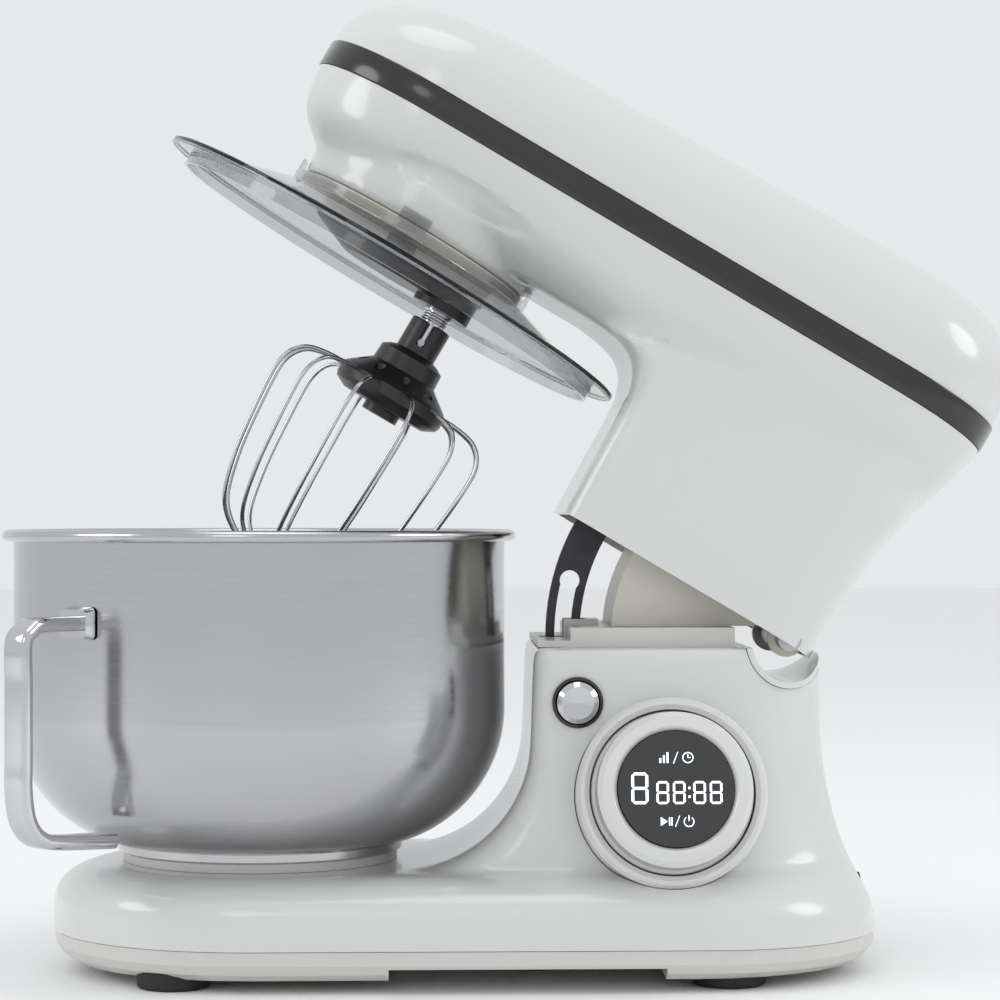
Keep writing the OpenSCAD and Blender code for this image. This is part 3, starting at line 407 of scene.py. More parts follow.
def stack(name, rings, joined=False, place=None):
    count = len(rings[0])
    points = [p for ring in rings for p in ring]
    return mesh_piece(name, points, skin_faces(len(rings), count, joined), place)


def turned(name, profile, steps=144, place=None, closed=True):
    """A profile of (radius, height) points turned round the Z axis."""
    count = len(profile)
    points, faces = [], []
    for k in range(steps):
        angle = math.tau * k / steps
        points += [(r * math.cos(angle), r * math.sin(angle), z) for r, z in profile]
        a, b = k * count, (k + 1) % steps * count
        faces += [(a + i, b + i, b + (i + 1) % count, a + (i + 1) % count)
                  for i in range(count if closed else count - 1)]
    return mesh_piece(name, points, faces, place)


def smooth_path(points, steps=8, closed=False):
    """Catmull-Rom curve through the points."""
    made, n = [], len(points)
    vectors = [Vector(p) for p in points]
    for i in range(n if closed else n - 1):
        quad = [vectors[(i + d) % n] if closed else vectors[min(n - 1, max(0, i + d))]
                for d in (-1, 0, 1, 2)]
        for s in range(steps):
            t = s / steps
            second = 2 * quad[0] - 5 * quad[1] + 4 * quad[2] - quad[3]
            third = 3 * quad[1] - quad[0] - 3 * quad[2] + quad[3]
            made.append(0.5 * (2 * quad[1] + (quad[2] - quad[0]) * t + second * t * t + third * t ** 3))
    return made if closed else [*made, vectors[-1]]


def sweep(path, section, up, closed=False):
    """Rings of a section of (side, up) pairs along a path. up is the section's fixed second direction."""
    rings, n = [], len(path)
    for i, p in enumerate(path):
        ahead = path[(i + 1) % n] if closed else path[min(n - 1, i + 1)]
        behind = path[i - 1] if closed else path[max(0, i - 1)]
        along = (ahead - behind).normalized()
        side = along.cross(up).normalized()
        over = side.cross(along)
        rings.append([p + side * a + over * b for a, b in section])
    return rings


def band_section(width, thick, corner, steps=5):
    """Rounded rectangle: thick across the band's path, width along its fixed direction."""
    points = []
    for sx, sy, start in ((1, -1, -90), (1, 1, 0), (-1, 1, 90), (-1, -1, 180)):
        for i in range(steps + 1):
            a = math.radians(start + 90 * i / steps)
            points.append((sx * (thick / 2 - corner) + corner * math.cos(a),
                           sy * (width / 2 - corner) + corner * math.sin(a)))
    return points


def rounded_solid(name, stacks, step):
    """Joins stacks of outlines into one solid whose inner corners run smoothly into each other."""
    parts = [stack(f"{name}.{i}", rings) for i, rings in enumerate(stacks)]
    work = bmesh.new()
    for part in parts:
        work.from_mesh(part.data)
        drop(part)
    mesh = bpy.data.meshes.new(name)
    work.to_mesh(mesh)
    work.free()
    solid = bpy.data.objects.new(name, mesh)
    bpy.context.scene.collection.objects.link(solid)
    grid = solid.modifiers.new("grid", "REMESH")
    grid.mode, grid.voxel_size, grid.adaptivity = "VOXEL", step, 0.0
    soften = solid.modifiers.new("soften", "SMOOTH")
    soften.factor, soften.iterations = 0.5, 14
    settle(solid)
    return solid


def cut_level(piece, height, keep_above):
    """Cuts a mesh with a level plane and leaves its edge open."""
    work = bmesh.new()
    work.from_mesh(piece.data)
    bmesh.ops.bisect_plane(
        work, geom=[*work.verts, *work.edges, *work.faces], plane_co=(0, 0, height * MM),
        plane_no=(0, 0, 1), clear_outer=not keep_above, clear_inner=keep_above,
    )
    work.to_mesh(piece.data)
    work.free()


def cut_away(piece, cutters):
    """Takes the cutters away from a piece and settles it."""
    for cutter in cutters:
        take = piece.modifiers.new("cut", "BOOLEAN")
        take.operation, take.solver, take.object = "DIFFERENCE", "EXACT", cutter
    settle(piece)
    for cutter in cutters:
        drop(cutter)


def thicken(piece, wall):
    shell = piece.modifiers.new("wall", "SOLIDIFY")
    shell.thickness, shell.offset, shell.use_even_offset = wall, -1.0, True
    settle(piece)


def rod(name, r, low, high, place, steps=96):
    """Plain cylinder from low to high along the place's Z axis."""
    return turned(name, [(0.0, low), (r, low), (r, high), (0.0, high)], steps, place, closed=False)


def block(name, low, high, place=None):
    points = [(x, y, z) for x in (low[0], high[0]) for y in (low[1], high[1]) for z in (low[2], high[2])]
    faces = [(0, 1, 3, 2), (4, 6, 7, 5), (0, 4, 5, 1), (2, 3, 7, 6), (0, 2, 6, 4), (1, 5, 7, 3)]
    return mesh_piece(name, points, faces, place)


def along_y(x, y, z):
    return Matrix.Translation((x, y, z)) @ Matrix.Rotation(math.radians(-90), 4, "X")


# ---- outlines of the housings ----


def inset_at(z):
    if z <= SHOULDER_Z:
        return 0.0
    u = min(1.0, (z - SHOULDER_Z) / (DECK_Z - SHOULDER_Z))
    return DECK_INSET * (1 - math.sqrt(max(0.0, 1 - u * u)))


def tail_at(z):
    u = min(1.0, max(0.0, (z - SHOULDER_Z + 3) / (COLUMN_TOP - SHOULDER_Z)))
    return HINGE_X + 16.5 + (BASE_TAIL - HINGE_X - 16.5) * (1 - u) ** 3


def base_ring(z, steps=24):
    half = BASE_HALF - inset_at(z)
    flat = outline(inset_at(z) - BASE_NOSE, tail_at(z), half, (BASE_NOSE - inset_at(z), half - 0.01),
                   (min(75.0, 1.02 * half), half - 12), steps)
    return [(x, y, z) for x, y in flat]


def column_ring(z, steps=24):
    flare = 53.0
    u = min(1.0, max(0.0, 1 - (z - DECK_Z) / (COLUMN_TOP - DECK_Z)))
    fall = max(0.0, DECK_Z + flare - z)
    front = COLUMN_FRONT - 3.3 - flare + math.sqrt(max(9.0, flare * flare - fall * fall)) + 3.3 * (1 - u)
    half = COLUMN_HALF + (BASE_HALF - DECK_INSET - 0.3 - COLUMN_HALF) * u ** 3
    corner = 8 + 12 * u ** 3
    rear_corner = (34 + 30 * u, half - 8 - 4 * u)
    flat = outline(front, tail_at(z) - 0.3 * u, half, (corner, corner), rear_corner, steps)
    return [(x, y, z) for x, y in flat]


def blend_rows(rows, steps=5):
    """More rows between the given ones, on a smooth curve."""
    flat = [[row[0], row[1], row[2], row[3], *row[4], *row[5]] for row in rows]
    made, n = [], len(flat)
    for i in range(n - 1):
        a, b, c, d = (flat[min(n - 1, max(0, i + k))] for k in (-1, 0, 1, 2))
        for s in range(steps):
            t = s / steps
            row = []
            for v in zip(a, b, c, d):
                slope1, slope2 = (v[2] - v[0]) / 2, (v[3] - v[1]) / 2
                if (v[1] - v[0]) * (v[2] - v[1]) <= 0:
                    slope1 = 0.0
                if (v[3] - v[2]) * (v[2] - v[1]) <= 0:
                    slope2 = 0.0
                row.append(v[1] * (2 * t ** 3 - 3 * t * t + 1) + slope1 * (t ** 3 - 2 * t * t + t)
                           + v[2] * (3 * t * t - 2 * t ** 3) + slope2 * (t ** 3 - t * t))
            made.append(row)
    made.append(flat[-1])
    return made


def row_ring(row, steps=22):
    z, front, rear, half, fx, fy, gx, gy = row
    return [(x, y, z) for x, y in outline(front, rear, half, (fx, fy), (gx, gy), steps)]


def hull_rows():
    rows = []
    for h, f, r, w in ((75, 38, 11, 19), (78, 28, 10.5, 15), (82, 18, 9, 10), (88, 10, 7, 5),
                       (97, 3, 4, 1), (113.3, 0, 0, 0)):
        rows.append((HINGE_Z + h, HEAD_NOSE + f, HEAD_TAIL - r, HEAD_HALF - w, (56 - w, HEAD_HALF - 1 - w),
                     (50 - 0.5 * w, HEAD_HALF - 8 - w)))
    return rows


def neck_rows():
    rows = []
    for h, f, r, fx, fy, gx in (
        (-2, -1.8, 18.4, 9, 9, 34), (25, -0.8, 17.6, 9, 9, 35), (52, 0, 16, 9, 9, 36),
        (62, 2.4, 14, 9.5, 9.5, 37), (68, 6, 12.5, 11, 11, 38), (71.5, 11, 12, 14, 13, 39),
        (74, 20, 11.4, 21, 18, 39), (75, 30, 11.2, 30, 24, 40), (79, 24, 11, 34, 30, 40),
        (90, -16, 8, 38, 44, 40),
    ):
        rows.append((HINGE_Z + h, NECK_FRONT - f, HEAD_TAIL - r, NECK_HALF, (fx, fy), (gx, NECK_HALF - 6)))
    return rows


# ---- pieces ----


class BaseShell(bpy.types.Operator):
    """Builds the enamelled base with the column that rises smoothly out of it"""

    bl_idname = "mixer.base_shell"
    bl_label = "Base and column"

    def execute(self, context):
        shoulder = [SHOULDER_Z + (DECK_Z - SHOULDER_Z) * math.sin(math.radians(a)) for a in range(6, 91, 7)]
        levels = [SEAM_Z - 8, SEAM_Z, 24, SHOULDER_Z, *shoulder, DECK_Z]
        lower = [base_ring(max(z, SEAM_Z)) for z in levels]
        lower = [[(x, y, z) for x, y, _ in ring] for ring, z in zip(lower, levels)]
        rise = [DECK_Z - 3, *(DECK_Z + (COLUMN_TOP - DECK_Z) * (k / 30) ** 1.6 for k in range(31))]
        upper = [[(x, y, z) for x, y, _ in column_ring(min(COLUMN_TOP, max(DECK_Z, z)))] for z in rise]
        piece = rounded_solid("base_shell", [lower, upper], looks().mesh_step)
        cut_level(piece, SEAM_Z, keep_above=True)
        thicken(piece, looks().shell_wall)
        gland = Matrix.Translation((BASE_TAIL - 10, 40, 27)) @ Matrix.Rotation(math.radians(90), 4, "Y")
        cut_away(piece, [
            block("cut.cap", (130.3, -46, 129), (205.5, 46, 149)),
            block("cut.latch", (123, -7, 121), (143, 7, 171)),
            rod("cut.cradle", 20.8, -100, 100, along_y(HINGE_X, 0, HINGE_Z)),
            rod("cut.dial", 40.3, -60, 20, DIAL_FACE),
            rod("cut.button", 9.5, -12, 18, along_y(BUTTON_X, -COLUMN_HALF, BUTTON_Z), 64),
            rod("cut.gland", 7.3, -10, 30, gland, 48),
            rod("cut.seat", 52, 39, 51, Matrix()),
        ])
        dress(piece, "base", "white_enamel", ["base_housing"], 28)
        return {"FINISHED"}


class HeadShell(bpy.types.Operator):
    """Builds the lower half of the head with its neck and the round collar over the hub"""

    bl_idname = "mixer.head_shell"
    bl_label = "Head and neck"

    def execute(self, context):
        hull = [row_ring(row) for row in blend_rows(hull_rows())]
        hull.append([(x, y, z + 8) for x, y, z in hull[-1]])
        neck = [row_ring(row) for row in blend_rows(neck_rows())]
        neck.insert(0, [(x, y, z - 8) for x, y, z in neck[0]])
        turns = [math.tau * i / 96 for i in range(96)]
        collar = [[(COLLAR_R * math.cos(a), COLLAR_R * math.sin(a), z) for a in turns]
                  for z in (HEAD_FLOOR - 5, HEAD_FLOOR + 4, HEAD_FLOOR + 15)]
        piece = rounded_solid("head_shell", [hull, neck, collar], looks().mesh_step)
        cut_level(piece, HINGE_Z - 2, keep_above=True)
        cut_level(piece, BAND_LOW, keep_above=False)
        self.press_recess(piece)
        thicken(piece, looks().shell_wall)
        cut_away(piece, [rod("cut.hub", HUB_HOLE_R, HEAD_FLOOR - 10, HEAD_FLOOR + 30, Matrix(), 128)])
        piece.data.transform(Matrix.Scale(MM, 4) @ RAISE @ Matrix.Scale(1 / MM, 4))
        dress(piece, "head", "white_enamel", ["head_lower_shell"], 28)
        return {"FINISHED"}

    def press_recess(self, piece):
        """Presses a shallow long recess low into each side of the head."""
        for vertex in piece.data.vertices:
            x, y, z = vertex.co / MM
            far = math.hypot((x - RECESS_X) / RECESS_LONG, (z - RECESS_Z) / RECESS_HIGH)
            if abs(y) > 30 and far < 1:
                vertex.co.y -= math.copysign(RECESS_DEEP * MM * min(1, 5 * (1 - far)), y)


class TopCover(bpy.types.Operator):
    """Builds the head's domed top cover and the polished band under it"""

    bl_idname = "mixer.top_cover"
    bl_label = "Top cover and band"

    def execute(self, context):
        rings = []
        for k in range(45):
            u = min(1.0, math.sin(math.radians(90 * k / 44)) ** 0.9)
            half = (HEAD_HALF - 0.4) * max(0.0, 1 - u ** 2.5) ** 0.4
            lost = HEAD_HALF - 0.4 - half
            front, rear = HEAD_NOSE + 0.4 + 1.35 * lost, HEAD_TAIL - 0.4 - 1.1 * lost
            flat = outline(front, rear, half, (max(6, 56 - 0.35 * lost), max(0.0, half - 1.6)),
                           (max(6, 50 - 0.2 * lost), max(0.0, half - 5.6)), 24)
            rings.append([(x, y, BAND_LOW + BAND_H + CROWN * u + 0.03 * u * x) for x, y in flat])
        count = len(rings[0])
        faces = skin_faces(len(rings), count)[:-2]
        faces.append(tuple((len(rings) - 1) * count + i for i in range(count)))
        cover = mesh_piece("top_cover", [p for ring in rings for p in ring], faces)
        thicken(cover, looks().shell_wall)
        cover.data.transform(Matrix.Scale(MM, 4) @ RAISE @ Matrix.Scale(1 / MM, 4))
        dress(cover, "head", "white_enamel", ["head_top_shell"], 35)
        row = blend_rows(hull_rows())[-1]
        edges = [(0.3, 0.1), (0.8, 0.35), (BAND_H - 0.8, 0.35), (BAND_H - 0.3, 0.1), (BAND_H - 0.3, -1.8),
                 (0.3, -1.8)]
        rings = []
        for up, out in edges:
            z, front, rear, half, fx, fy, gx, gy = row
            flat = outline(front - out, rear + out, half + out, (fx + out, fy + out), (gx + out, gy + out),
                           28)
            rings.append([(x, y, z + up) for x, y in flat])
        band = stack("trim_band_smooth", rings, joined=True, place=RAISE)
        dress(band, "head", "dark_trim", ["trim_band"], 40)
        return {"FINISHED"}


class Bowl(bpy.types.Operator):
    """Builds the spun steel bowl with its rolled rim and foot ring"""

    bl_idname = "mixer.bowl"
    bl_label = "Bowl"

    def execute(self, context):
        centre = BOWL_R - BOWL_CURVE
        outer = [(0.0, BOWL_FLOOR)]
        inner = [(0.0, BOWL_FLOOR + BOWL_WALL)]
        for i in range(33):
            a = math.radians(-90 + 90 * i / 32)
            outer.append((centre + BOWL_CURVE * math.cos(a), BOWL_FLOOR + BOWL_CURVE * (1 + math.sin(a))))
            bend = BOWL_CURVE - BOWL_WALL
            inner.append((centre + bend * math.cos(a), BOWL_FLOOR + BOWL_CURVE + bend * math.sin(a)))
        roll_x = BOWL_R + RIM_ROLL - BOWL_WALL / 2
        angles = [math.radians(a) for a in range(150, -171, -16)]
        roll = [(roll_x + RIM_ROLL * math.cos(a), BOWL_RIM + RIM_ROLL * math.sin(a)) for a in angles]
        profile = [*inner, *roll, *reversed(outer)]
        bowl = turned("bowl_steel", profile, 192, closed=False)
        foot = [(56.2, 51.8), (62.2, 51.8), (62.2, 55.6), (60.8, 56.4), (56.2, 54)]
        join_into(bowl, turned("foot_ring", foot, 144))
        dress(bowl, "bowl_body", "polished_steel", ["bowl"], 30)
        return {"FINISHED"}


def join_into(piece, other):
    work = bmesh.new()
    work.from_mesh(piece.data)
    work.from_mesh(other.data)
    work.to_mesh(piece.data)
    work.free()
    drop(other)


class BowlHandle(bpy.types.Operator):
    """Builds the chromed band handle on the side of the bowl"""

    bl_idname = "mixer.bowl_handle"
    bl_label = "Bowl handle"

    def execute(self, context):
        turn = Matrix.Rotation(math.radians(180 + HANDLE_ANGLE), 4, "Z")
        reach = BOWL_R + 37.5 - 3.6
        corners = [(BOWL_R + 3.2, 153), (132, 153), (reach - 4, 151), (reach, 146), (reach, 130),
                   (reach, 100), (reach, 86), (reach - 2.5, 74), (reach - 9, 67), (reach - 20, 64.5),
                   (92.5, 62.5)]
        path = smooth_path([(r, 0, z) for r, z in corners], 10)
        rings = sweep(path, band_section(HANDLE_W, 6.2, 2.4), Vector((0, 1, 0)))
        piece = stack("handle_band", rings, place=turn)
        plate = []
        for r in (BOWL_R + 0.3, BOWL_R + 4.6):
            grow = 0 if r < BOWL_R + 1 else -1.0
            plate.append([(r, a, 153 + b) for a, b in band_section(13.5 + 2 * grow, 17 + 2 * grow, 2.2)])
        join_into(piece, stack("handle_plate", plate, place=turn))
        dress(piece, "bowl_body", "chrome", ["bowl_handle"], 40)
        return {"FINISHED"}


def node(tree, kind, **values):
    made = tree.nodes.new(kind)
    for name, value in values.items():
        setattr(made, name, value)
    return made


def turned_wires_tree():
    """Geometry nodes: carries a round section along the curve and repeats it about the Z axis."""
    tree = bpy.data.node_groups.new("turned_wires", "GeometryNodeTree")
    tree.interface.new_socket("Geometry", in_out="INPUT", socket_type="NodeSocketGeometry")
    for label, kind, value in (("Count", "NodeSocketInt", 6), ("Wire radius", "NodeSocketFloat", 0.001),
                               ("Whole turn", "NodeSocketFloat", math.pi), ("Sides", "NodeSocketInt", 10)):
        tree.interface.new_socket(label, in_out="INPUT", socket_type=kind).default_value = value
    tree.interface.new_socket("Finish", in_out="INPUT", socket_type="NodeSocketMaterial")
    tree.interface.new_socket("Geometry", in_out="OUTPUT", socket_type="NodeSocketGeometry")
    start, end = node(tree, "NodeGroupInput"), node(tree, "NodeGroupOutput")
    circle, tube = node(tree, "GeometryNodeCurvePrimitiveCircle"), node(tree, "GeometryNodeCurveToMesh")
    tube.inputs["Fill Caps"].default_value = True
    spots = node(tree, "GeometryNodeMeshLine")
    spots.inputs["Offset"].default_value = (0, 0, 0)
    place = node(tree, "GeometryNodeInstanceOnPoints")
    index = node(tree, "GeometryNodeInputIndex")
    share = node(tree, "ShaderNodeMath", operation="DIVIDE")
    angle = node(tree, "ShaderNodeMath", operation="MULTIPLY")
    spin, real = node(tree, "ShaderNodeCombineXYZ"), node(tree, "GeometryNodeRealizeInstances")
    coat = node(tree, "GeometryNodeSetMaterial")
    link(tree, [
        (start.outputs["Wire radius"], circle.inputs["Radius"]),
        (start.outputs["Sides"], circle.inputs["Resolution"]),
        (start.outputs["Geometry"], tube.inputs["Curve"]),
        (circle.outputs["Curve"], tube.inputs["Profile Curve"]),
        (start.outputs["Count"], spots.inputs["Count"]), (spots.outputs["Mesh"], place.inputs["Points"]),
        (tube.outputs["Mesh"], place.inputs["Instance"]), (index.outputs["Index"], share.inputs[0]),
        (start.outputs["Count"], share.inputs[1]), (share.outputs[0], angle.inputs[0]),
        (start.outputs["Whole turn"], angle.inputs[1]), (angle.outputs[0], spin.inputs["Z"]),
        (spin.outputs[0], place.inputs["Rotation"]), (place.outputs["Instances"], real.inputs["Geometry"]),
        (real.outputs["Geometry"], coat.inputs["Geometry"]),
        (start.outputs["Finish"], coat.inputs["Material"]),
        (coat.outputs["Geometry"], end.inputs["Geometry"]),
    ])
    return tree


def set_inputs(modifier, values):
    sockets = {item.name: item.identifier for item in modifier.node_group.interface.items_tree
               if item.in_out == "INPUT"}
    for name, value in values.items():
        modifier[sockets[name]] = value


def curve_piece(name, points):
    """A poly curve through points in millimetres, as the line that a section follows."""
    data = bpy.data.curves.new(name, "CURVE")
    data.dimensions = "3D"
    line = data.splines.new("POLY")
    line.points.add(len(points) - 1)
    for spot, p in zip(line.points, points):
        spot.co = (p[0] * MM, p[1] * MM, p[2] * MM, 1)
    piece = bpy.data.objects.new(name, data)
    bpy.context.scene.collection.objects.link(piece)
    return piece


def wires(name, points, values, place):
    """Repeats a wire with the geometry nodes tree, and puts the plain mesh where the place says."""
    line = curve_piece(name + ".line", points)
    tree = bpy.data.node_groups.get("turned_wires") or turned_wires_tree()
    modifier = line.modifiers.new("wires", "NODES")
    modifier.node_group = tree
    set_inputs(modifier, values)
    evaluated = line.evaluated_get(bpy.context.evaluated_depsgraph_get())
    mesh = bpy.data.meshes.new_from_object(evaluated)
    drop(line)
    mesh.transform(Matrix.Scale(MM, 4) @ place @ Matrix.Scale(1 / MM, 4))
    piece = bpy.data.objects.new(name, mesh)
    bpy.context.scene.collection.objects.link(piece)
    return piece


class WhiskWires(bpy.types.Operator):
    """Builds the whisk's steel loops, which all cross at its bottom"""

    bl_idname = "mixer.whisk_wires"
    bl_label = "Whisk wires"

    def execute(self, context):
        top, low, r = BARREL_TOP - 33.6, BOWL_FLOOR + BOWL_WALL + 3, 51.0
        half = [(20, top + 0.3), (24, top), (35, top - 0.6), (44, top - 3), (49.4, top - 9), (r, top - 18),
                (r - 1.4, top - 38), (r - 4, (top - 38 + low) / 2 + 8), (r - 9.5, low + 17),
                (r - 19, low + 7), (r - 32, low + 1.6), (0, low + 0.4)]
        loop = [(x, 0, z) for x, z in half] + [(-x, 0, z) for x, z in reversed(half[:-1])]
        path = smooth_path(loop, 7)
        place = RAISE @ Matrix.Translation((BEATER_X, 0, 0)) @ Matrix.Rotation(math.radians(15), 4, "Z")
        values = {"Count": looks().wire_count, "Wire radius": looks().wire_width / 2,
                  "Whole turn": math.pi, "Sides": 10, "Finish": FINISH["polished_steel"]}
        piece = wires("whisk_loops", path, values, place)
        dress(piece, "whisk", "polished_steel", ["whisk_wires"], 60)
        return {"FINISHED"}


class Springs(bpy.types.Operator):
    """Builds the coil springs over the beater shaft and behind the release button"""

    bl_idname = "mixer.springs"
    bl_label = "Springs"

    def execute(self, context):
        def helix(r, turns, pitch):
            angles = [math.tau * k / 24 for k in range(int(turns * 24) + 1)]
            return [(r * math.cos(a), r * math.sin(a), pitch * k / 24) for k, a in enumerate(angles)]

        shaft = RAISE @ Matrix.Translation((BEATER_X, 0, BARREL_TOP + 0.75))
        values = {"Count": 1, "Wire radius": 0.0006, "Whole turn": 0.0, "Sides": 8,
                  "Finish": FINISH["chrome"]}
        coil = wires("beater_coil", helix(5.9, 3, 1.35), values, shaft)
        low, high = BOSS_Z - 1.3, BOSS_Z - 0.1
        profile = [(5.1, low), (6.7, low), (6.7, high), (5.1, high)]
        washer = turned("beater_washer", profile, 64, RAISE @ Matrix.Translation((BEATER_X, 0, 0)))
        join_into(coil, washer)
        dress(coil, "beater", "chrome", ["beater_spring"], 50)
        values["Finish"] = FINISH["plain_steel"]
        button = wires("button_coil", helix(5.6, 6, 3.5), values, along_y(BUTTON_X, -43.4, BUTTON_Z))
        dress(button, "base", "plain_steel", ["button_spring"], 50)
        return {"FINISHED"}


def digit_strokes(cx, cy, w, h, t):
    """The seven bars of a figure 8, as outlines with pointed ends."""
    bars, tip = [], t / 2
    for row in (-1, 0, 1):
        y, reach = cy + row * (h - t) / 2, w / 2 - t * 0.62
        bars.append([(cx - reach, y), (cx - reach + tip, y + tip), (cx + reach - tip, y + tip),
                     (cx + reach, y), (cx + reach - tip, y - tip), (cx - reach + tip, y - tip)])
    for side in (-1, 1):
        for row in (-1, 1):
            x = cx + side * (w - t) / 2
            low = cy + min(0, row) * (h - t) / 2 + 0.13 * t
            high = cy + max(0, row) * (h - t) / 2 - 0.13 * t
            bars.append([(x, low), (x + tip, low + tip), (x + tip, high - tip), (x, high),
                         (x - tip, high - tip), (x - tip, low + tip)])
    return bars


def ring_strokes(cx, cy, r, t, start=0, stop=360, n=28):
    """Short strokes that follow an arc, from start to stop degrees."""
    def arc(size):
        angles = (math.radians(start + (stop - start) * i / n) for i in range(n + 1))
        return [(cx + size * math.cos(a), cy + size * math.sin(a)) for a in angles]

    outer, inner = arc(r), arc(r - t)
    return [[outer[i], outer[i + 1], inner[i + 1], inner[i]] for i in range(n)]


def bar(x0, y0, x1, y1, t):
    d = Vector((x1 - x0, y1 - y0)).normalized() * t / 2
    return [(x0 + d.y, y0 - d.x), (x1 + d.y, y1 - d.x), (x1 - d.y, y1 + d.x), (x0 - d.y, y0 + d.x)]


class Display(bpy.types.Operator):
    """Builds the lit figures and plain symbols on the dial's round glass"""

    bl_idname = "mixer.display"
    bl_label = "Display"

    def execute(self, context):
        strokes = digit_strokes(-15.0, 0.2, 7.0, 13.0, 1.15)
        for x in (-5.6, 1.2, 9.6, 16.4):
            strokes += digit_strokes(x, -1.6, 5.2, 9.4, 0.9)
        strokes += [bar(5.4, -0.2, 5.4, 0.8, 0.9), bar(5.4, -3.8, 5.4, -2.8, 0.9)]
        # signal bars, a slash and a clock above the figures
        for k, tall in enumerate((2.0, 3.2, 4.4)):
            strokes.append(bar(-6.4 + 1.5 * k, 10.6, -6.4 + 1.5 * k, 10.6 + tall, 0.8))
        strokes.append(bar(-1.0, 10.4, 0.9, 15.2, 0.35))
        strokes += ring_strokes(5.0, 12.8, 2.3, 0.4)
        strokes += [bar(5.0, 12.8, 5.0, 14.3, 0.35), bar(5.0, 12.8, 6.1, 12.8, 0.35)]
        # start and pause, a slash and a power mark below
        strokes += [[(-6.6, -15.2), (-6.6, -11.6), (-3.8, -13.4)], bar(-3.0, -15.1, -3.0, -11.7, 0.5),
                    bar(-2.0, -15.1, -2.0, -11.7, 0.5)]
        strokes.append(bar(-0.6, -15.6, 1.2, -11.0, 0.35))
        strokes += ring_strokes(5.0, -13.5, 2.2, 0.4, 125, 415)
        strokes.append(bar(5.0, -13.2, 5.0, -10.9, 0.4))
        points, faces = [], []
        for stroke in strokes:
            a, n = len(points), len(stroke)
            points += [(x, y, z) for z in (-1.36, -1.2) for x, y in stroke]
            faces += [tuple(range(a, a + n)), tuple(range(a + 2 * n - 1, a + n - 1, -1))]
            faces += [(a + i, a + (i + 1) % n, a + n + (i + 1) % n, a + n + i) for i in range(n)]
        piece = mesh_piece("lit_figures", points, faces, DIAL_FACE)
        dress(piece, "base", "digit_white", ["display_digits"], 20)
        return {"FINISHED"}


class MotorWindings(bpy.types.Operator):
    """Builds the copper coils that stand out of the motor's core at both ends"""

    bl_idname = "mixer.motor_windings"
    bl_label = "Motor windings"

    def execute(self, context):
        points = smooth_path([(12, -11, 0), (24, -13.5, 0), (31, -9, 0), (33, 0, 0), (31, 9, 0),
                              (24, 13.5, 0), (12, 11, 0), (22, 4, 0), (24, 0, 0), (22, -4, 0)],
                             6, closed=True)
        place = RAISE @ Matrix.Translation((165, 0, 246.4 - 2.7))
        values = {"Count": 2, "Wire radius": 0.0022, "Whole turn": math.tau, "Sides": 12,
                  "Finish": FINISH["copper"]}
        coil = wires("stator_coils", points, values, place)
        dress(coil, "head", "copper", [], 50)
        return {"FINISHED"}


class CadFinishes(bpy.types.Operator):
    """Gives every piece that is carried over from the part its finish"""

    bl_idname = "mixer.cad_finishes"
    bl_label = "Carried-over pieces"

    def execute(self, context):
        for name, piece in frame["nodes"].items():
            piece.data.materials.clear()
            piece.data.materials.append(FINISH[SLOT_OF[name]])
        return {"FINISHED"}


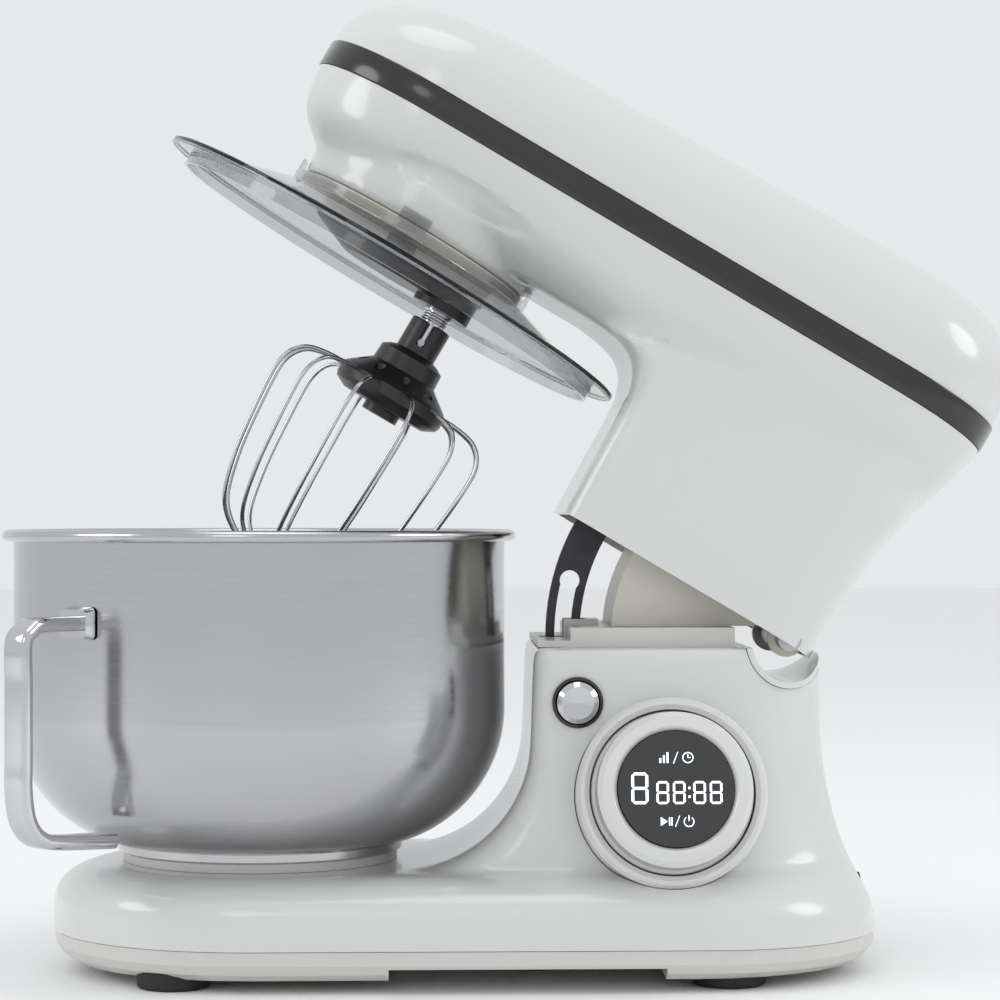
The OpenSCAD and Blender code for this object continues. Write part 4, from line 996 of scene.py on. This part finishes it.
class Stage(bpy.types.Operator):
    """Builds the pale floor, the soft lights and the camera"""

    bl_idname = "mixer.stage"
    bl_label = "Stage"

    def execute(self, context):
        scene = context.scene
        scene.view_settings.view_transform = "Standard"
        mesh = bpy.data.meshes.new("floor")
        mesh.from_pydata([(-6, -6, 0), (6, -6, 0), (6, 6, 0), (-6, 6, 0)], [], [(0, 1, 2, 3)])
        floor = bpy.data.objects.new("floor", mesh)
        scene.collection.objects.link(floor)
        pale = finish("pale_floor", (0.93, 0.93, 0.93), 0.6, tone=0.01, patch=3, bump=0.0)
        floor.data.materials.append(pale)
        world = bpy.data.worlds.new("studio")
        world.use_nodes = True
        world.node_tree.nodes["Background"].inputs["Color"].default_value = (0.97, 0.985, 1, 1)
        world.node_tree.nodes["Background"].inputs["Strength"].default_value = 0.82
        scene.world = world
        lamps = [("key", (-1.6, -0.5, 1.0), 0.9, 6), ("rim", (1.7, -0.35, 0.9), 0.8, 5),
                 ("top", (0.1, -0.3, 1.9), 1.2, 5), ("front", (-0.4, -2.2, 1.1), 0.7, 2)]
        for name, place, size, power in lamps:
            data = bpy.data.lights.new(name, "AREA")
            data.shape, data.size, data.energy = "DISK", size, power
            lamp = bpy.data.objects.new(name, data)
            lamp.location = place
            aim = Vector((0.1, 0, 0.15)) - Vector(place)
            lamp.rotation_euler = aim.to_track_quat("-Z", "Y").to_euler()
            scene.collection.objects.link(lamp)
        camera = bpy.data.objects.new("camera", bpy.data.cameras.new("camera"))
        camera.data.lens, camera.data.sensor_width, camera.data.shift_y = 100.5, 36, 0.012
        camera.location = (0.0678, -1.2326, 0.1987)
        camera.rotation_euler = (math.radians(90), 0, math.radians(-1.75))
        scene.collection.objects.link(camera)
        scene.camera = camera
        return {"FINISHED"}


class MixerPanel(bpy.types.Panel):
    """Lists the mixer's settings and pieces"""

    bl_idname = "MIXER_PT_pieces"
    bl_label = "Stand mixer"
    bl_space_type = "VIEW_3D"
    bl_region_type = "UI"
    bl_category = "Mixer"

    def draw(self, context):
        for name in MixerLooks.__annotations__:
            self.layout.prop(context.scene.mixer_looks, name)
        for operator in OPERATORS:
            self.layout.operator(operator.bl_idname)


OPERATORS = (
    CadFinishes, BaseShell, HeadShell, TopCover, Bowl, BowlHandle, WhiskWires, Springs, Display,
    MotorWindings, Stage,
)


def register():
    for made in (MixerLooks, *OPERATORS, MixerPanel):
        bpy.utils.register_class(made)
    bpy.types.Scene.mixer_looks = PointerProperty(type=MixerLooks)


def unregister():
    del bpy.types.Scene.mixer_looks
    for made in reversed((MixerLooks, *OPERATORS, MixerPanel)):
        bpy.utils.unregister_class(made)


def main():
    register()
    FINISH.update(make_finishes())
    for operator in OPERATORS:
        group, name = operator.bl_idname.split(".")
        getattr(getattr(bpy.ops, group), name)()


if __name__ == "__main__":
    main()
